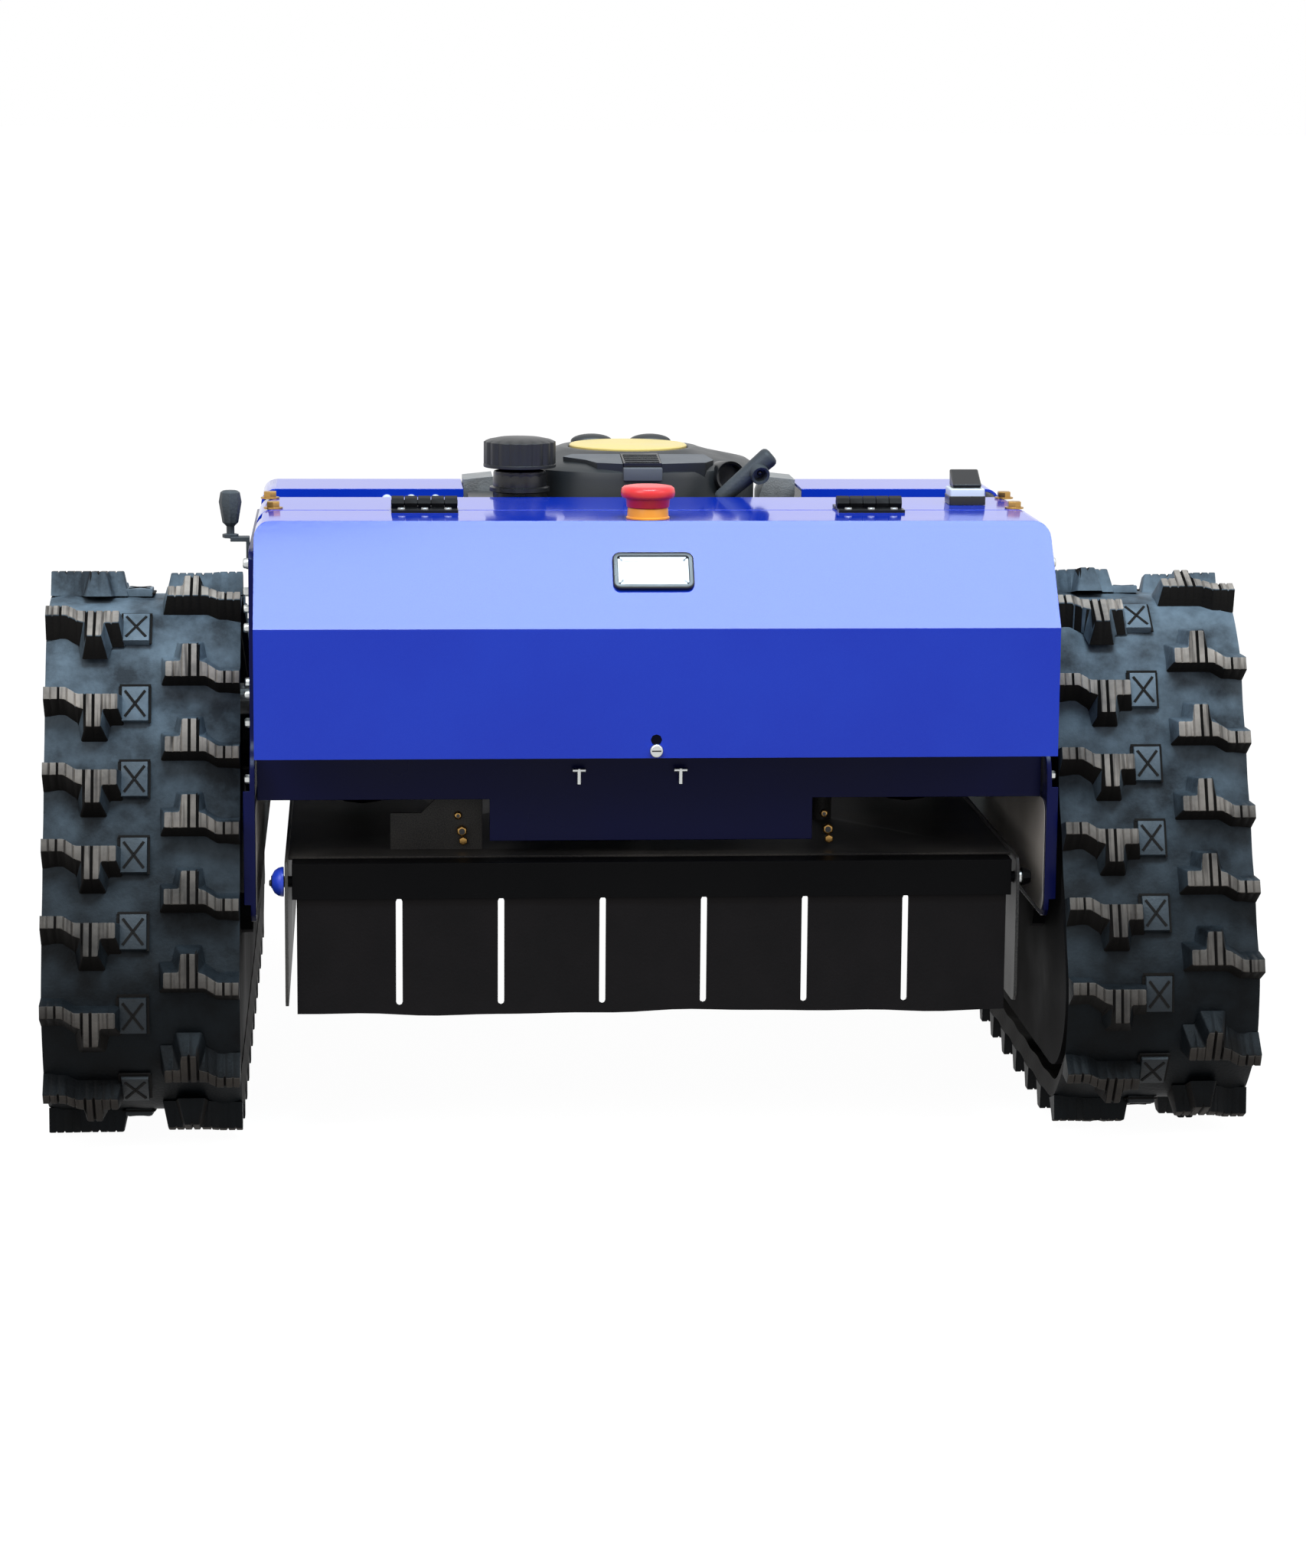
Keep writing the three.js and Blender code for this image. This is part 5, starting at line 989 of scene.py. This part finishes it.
cap_nut = spun_mesh(CAP_NUT_PROFILE, at(CAP_NUT_X, ROD_DEPTH, ROD_HEIGHT), (-1, 0, 0), 48)
tip = head(at(CAP_TIP_X, ROD_DEPTH, ROD_HEIGHT - 1), (-1, 0, 0), 2.6, 2.6, dome=0.5)
piece("rod_cap_left", together(cap_nut, slotted(tip, 1)), [blue_dome, black_abs_and_recess_shade], "front_flap")
end = head(at(ROD_END_X, ROD_DEPTH, ROD_HEIGHT), (1, 0, 0), 4.6, 7.0, dome=0.6)
piece("rod_end_right", end, zinc, "front_flap")
nuts = []
for x in BRACKETS_X:
    nuts.append(head(at(x, BRACKET_DEPTH, 234), FRONT, 4.4, 5.6, sides=6, dome=0.3, drive=2.4,
                     drive_sides=16))
    nuts.append(head(at(x + 1, BRACKET_DEPTH, 226), FRONT, 3.6, 4.4, sides=6, dome=0.3))
    nuts.append(head(at(x - 3, BRACKET_DEPTH, 246), FRONT, 3.2, 3.0, dome=0.6, drive=1.6))
piece("bracket_nuts", together(*nuts), [brass, black_abs_and_recess_shade], "deck")
print("bracket nuts", len(nuts))

# %% [markdown]
# A rubber sheet never hangs quite flat. The CAD curtain is cut into narrow strips, bowed in two
# soft waves that grow towards its foot, and its lower edge is a little uneven.

# %% Curtains
CURTAIN_STRIP, CURTAIN_STRIPS = 15.2, 18
CLAMP_HEIGHT, HANG, FOOT_HEIGHT = 190, 90, 101


def curtain(node, body):
    mesh = node_mesh(node)
    for step in range(-CURTAIN_STRIPS, CURTAIN_STRIPS + 1):
        cut_across(mesh, step * CURTAIN_STRIP, 1e-6)
    for vert in mesh.verts:
        x, height = vert.co.x / MM, vert.co.z / MM
        hang = max(0.0, (CLAMP_HEIGHT - height) / HANG)
        vert.co.y += hang * (1.3 * math.sin(x / 39.4 * math.pi) + 0.8 * math.sin(x / 61 + 1)) * MM
        if height < FOOT_HEIGHT:
            vert.co.z += (0.9 * math.sin(x / 55 + 0.8) + 0.5 * math.sin(x / 21)) * MM + 0.6 * MM
    return piece(node + "_finished", mesh, curtain_rubber, body, node, bevel=0.5)


for place in ("front", "rear"):
    sheet = curtain(place + "_curtain", place + "_flap")
    print(sheet.name, "faces", len(sheet.data.polygons))

# %% [markdown]
# ## Engine
# Only the top of the engine shows. Its blower housing is moulded charcoal nylon: a drum with a
# sloping shoulder, turned here as one profile. In its front sit two paler facets and a louvred
# block with a ledge below. A lacquered starter disc lies in the rim, between two low humps.

# %% Drum, facets and louvred block
ENGINE_DEPTH = 370
ENGINE_AXIS = at(0, ENGINE_DEPTH, 0)
DRUM_PROFILE = [(104, 424), (106, 425), (106, 492), (104.5, 497.5), (100, 500.5), (72, 506.4), (61, 509.4),
                (58, 510.6), (51.5, 510.6), (50.5, 509.8), (50, 508.6), (0, 508.6)]
LEFT_FACET = [(-11, 309, 509.4), (-50, 317, 508.6), (-58, 306, 507.4), (-40, 291, 506.2), (-32, 274, 505.4),
              (-11, 267, 505.2)]
RIGHT_FACET = [(21, 309, 509.4), (21, 267, 505.2), (58, 280, 505), (66, 298, 505.4), (60, 317, 508.4)]
BLOCK_FRONT, BLOCK_BACK = 264, 312
BLOCK = [(20.5, BLOCK_BACK, 509.9), (-10.5, BLOCK_BACK, 509.9), (-10.5, BLOCK_FRONT, 506),
         (20.5, BLOCK_FRONT, 506)]
FACET_THICKNESS, BLOCK_THICKNESS = 14, 3.6


def plate(corners, thickness):
    mesh = bmesh.new()
    face = mesh.faces.new([mesh.verts.new(at(*corner)) for corner in corners])
    mesh.normal_update()
    drop = -face.normal * thickness * MM
    made = bmesh.ops.extrude_face_region(mesh, geom=[face])
    lower = [item for item in made["geom"] if isinstance(item, bmesh.types.BMVert)]
    bmesh.ops.translate(mesh, vec=drop, verts=lower)
    bmesh.ops.recalc_face_normals(mesh, faces=mesh.faces)
    return mesh


def louvre(depth):
    rise = (depth - BLOCK_FRONT) / 12
    return slotted(box_mesh((-9, depth, 505.6 + rise), (19, depth + 3, 507 + rise), 0.3), 2)


drum = spun_mesh(DRUM_PROFILE, ENGINE_AXIS, steps=96)
facets = [plate(corners, FACET_THICKNESS) for corners in (LEFT_FACET, RIGHT_FACET)]
for facet in facets:
    for face in facet.faces:
        face.material_index = 1 if face.normal.z > 0.9 else 0
block = slotted(plate(BLOCK, BLOCK_THICKNESS), 2)
louvres = [louvre(depth) for depth in range(267, 300, 8)]
ledge = slotted(box_mesh((-11, 259, 491.5), (21, 300, 502.6), 1.2), 1)
print("louvres", len(louvres))

# %% Port, humps, vents and disc
PORT_PROFILE = [(0, -3), (9.5, -3), (10.5, 5), (12.5, 6), (13, 5), (13, -22)]
DISC_PROFILE = [(0, 508.3), (49, 508.3), (49.4, 509.0), (49.4, 511.6), (48.4, 512.4), (44, 512.7), (0, 512.9)]
VENTS, VENT_STEP, VENT_TILT, VENT_RISE = 9, math.radians(18), math.radians(-14), 3.2
HUMPS_X, HUMP_DEPTH, HUMP_HEIGHT, HUMP_SIZE = (-27, 23), 432, 509, (18, 11, 6.4)

port = slotted(spun_mesh(PORT_PROFILE, at(78, 290, 492.5), (0.25, -1, 0.1), 40), 2)
humps = []
for x in HUMPS_X:
    hump = bmesh.new()
    bmesh.ops.create_uvsphere(hump, u_segments=32, v_segments=16, radius=1.0)
    bmesh.ops.scale(hump, vec=[size * MM for size in HUMP_SIZE], verts=hump.verts)
    humps.append(shifted(hump, at(x, HUMP_DEPTH, HUMP_HEIGHT)))
vents = []
for i in range(VENTS):
    vent = slotted(box_mesh((-4, ENGINE_DEPTH + 74, 500), (4, ENGINE_DEPTH + 98, 504), 1.5), 2)
    turned(vent, at(0, ENGINE_DEPTH, 502), VENT_TILT, "X")
    shifted(vent, (0, 0, VENT_RISE * MM))
    vents.append(turned(vent, ENGINE_AXIS, VENT_STEP * (i + 1) - math.pi / 2, "Z"))
housing = together(drum, *facets, block, *louvres, ledge, port, *humps, *vents)
piece("blower_housing_finished", housing, [charcoal_nylon, ledge_nylon, black_abs_and_recess_shade], "deck", "blower_housing",
      angle=28, bevel=0.5)
piece("starter_disc", spun_mesh(DISC_PROFILE, ENGINE_AXIS, steps=72), disc_plate, "deck")
print("vents", len(vents))

# %% [markdown]
# The fuel cap is a fluted nylon cap on a ringed neck. The flutes are drawn by moving the rim of a
# many-sided cylinder in and out. Its top is slightly domed.

# %% Fuel cap and neck
CAP_X, CAP_DEPTH, CAP_FOOT = -95, 273, 503
CAP_RADIUS, CAP_HEIGHT, CAP_FLUTES = 28.4, 20, 18
SKIRT_PROFILE = [(28.0, 502.2), (29.6, 502.4), (29.6, 505), (28.0, 505.4)]
NECK_PROFILE = [(0, 470), (24, 470), (24, 477), (22, 478), (22, 482), (24.6, 483), (24.6, 486), (22, 487),
                (22, 493), (21, 497), (21, 499), (0, 499)]

cap = shifted(cylinder(CAP_RADIUS, CAP_HEIGHT * MM, 8 * CAP_FLUTES), (0, 0, CAP_HEIGHT / 2 * MM))
crown = top_face(cap)
for width, rise in ((3.0, 1.6), (8.0, 1.6), (10.0, 0.7)):
    inset(cap, crown, width, rise)
for vert in cap.verts:
    if math.hypot(vert.co.x, vert.co.y) > (CAP_RADIUS - 0.9) * MM:
        swell = 0.985 + 0.05 * abs(math.cos(CAP_FLUTES / 2 * math.atan2(vert.co.y, vert.co.x)))
        vert.co.x *= swell
        vert.co.y *= swell
shifted(cap, at(CAP_X, CAP_DEPTH, CAP_FOOT))
skirt = spun_mesh(SKIRT_PROFILE, at(CAP_X, CAP_DEPTH, 0), steps=64)
piece("fuel_cap_finished", together(cap, skirt), cap_nylon, "fuel_cap", "fuel_cap", angle=38, bevel=0.4)
rings = spun_mesh(NECK_PROFILE, at(CAP_X, CAP_DEPTH, 0), steps=64)
piece("tank_neck_rings", rings, black_abs_and_recess_shade, "deck", angle=40)
print("flutes", CAP_FLUTES)

# %% [markdown]
# The starter's handle is a grey rubber tube. The rope leaves through a short boss in its middle,
# where the knot shows in a mouth that is a black disc, a painted shade.

# %% Recoil handle
BOSS_PLACE, BOSS_DIRECTION = at(98, 256, 500.5), (0.2, -1, -0.3)
BOSS_PROFILE = [(0, 2), (5.0, 2), (5.6, 10.4), (7.4, 11), (8.0, 9.6), (8.2, -2)]

grip = rod_mesh(at(66, 257, 476), at(110, 257, 514), 6.4, 32, end_radius=8.6, bevel=4.5)
boss = spun_mesh(BOSS_PROFILE, BOSS_PLACE, BOSS_DIRECTION, 32)
mouth_shade = spun_mesh([(0, 4.2), (5.4, 4.2)], BOSS_PLACE, BOSS_DIRECTION, 32)
knot = bmesh.new()
bmesh.ops.create_uvsphere(knot, u_segments=16, v_segments=10, radius=2.6 * MM)
shifted(knot, at(99.5, 251, 499.6))
handle = together(grip, boss, slotted(mouth_shade, 1), slotted(knot, 1))
piece("recoil_handle_finished", handle, [tube_rubber, black_abs_and_recess_shade], "recoil_handle", "recoil_handle", angle=40)
print("handle at", [round(v, 3) for v in BOSS_PLACE])

# %% [markdown]
# What is left inside the body shows only when the covers open, so it gets rounded edges alone.

# %% Rounded edges inside
inner_bevels = {
    "fuel_tank": 1.2, "antenna": 0.8, "muffler": 1.0, "gearbox_left": 1.2, "gearbox_right": 1.2,
    "drive_motor_left": 1.2, "drive_motor_right": 1.2, "battery_left": 2.0, "battery_right": 2.0,
    "lift_actuator": 1.0, "motor_controller": 0.8,
}
for node, bevel in inner_bevels.items():
    rounded_copy(node, plain[node], bevel)
print("rounded inside", len(inner_bevels))

# %% [markdown]
# ## Side plates inside and out
# The inner faces of the side plates carry a pale beige sheet, which stands for the bright reflection
# they show at a glancing angle: a painted reflection. Outside, small plated bolts line the narrow
# gap to the track.

# %% Painted reflection sheets, bolts and domes
LINER_X = (306.3, 306.7)
LINER_CORNER = 12
PLATE_OUTSIDE = 311
LINER_DEPTHS, LINER_HEIGHTS = (54, 735), (174, 262)
SIDE_BOLTS = ((84, 446, 4.0, 24), (84, 424, 3.6, 6), (90, 410, 3.2, 24), (84, 396, 3.6, 24),
              (92, 352, 4.0, 24), (84, 344, 3.4, 24), (60, 282, 3.6, 6), (84, 322, 3.8, 6),
              (60, 252, 3.4, 24))

for word, side in SIDES:
    liner = box_mesh(*zip(sorted(side * x for x in LINER_X), LINER_DEPTHS, LINER_HEIGHTS))
    corners = [e for e in liner.edges if abs(e.verts[0].co.x - e.verts[1].co.x) > 1e-5]
    round_edges(liner, corners, LINER_CORNER, 6)
    piece("side_plate_painted_reflection_" + word, liner, pale_reflection_paint, "chassis")
    bolts = [head(at(side * PLATE_OUTSIDE, depth, z), (side, 0, 0), radius, 4.2, sides=sides, dome=0.4)
             for depth, z, radius, sides in SIDE_BOLTS]
    piece("side_plate_bolts_" + word, together(*bolts), zinc, "chassis")
domes = [head(at(x, 304.2, 472), FRONT, 4.4, 2.6, dome=0.9) for x in (-203, -183, -163)]
piece("rear_lip_domes", together(*domes), white_abs, "chassis")
print("side bolts", len(SIDE_BOLTS), "a side")
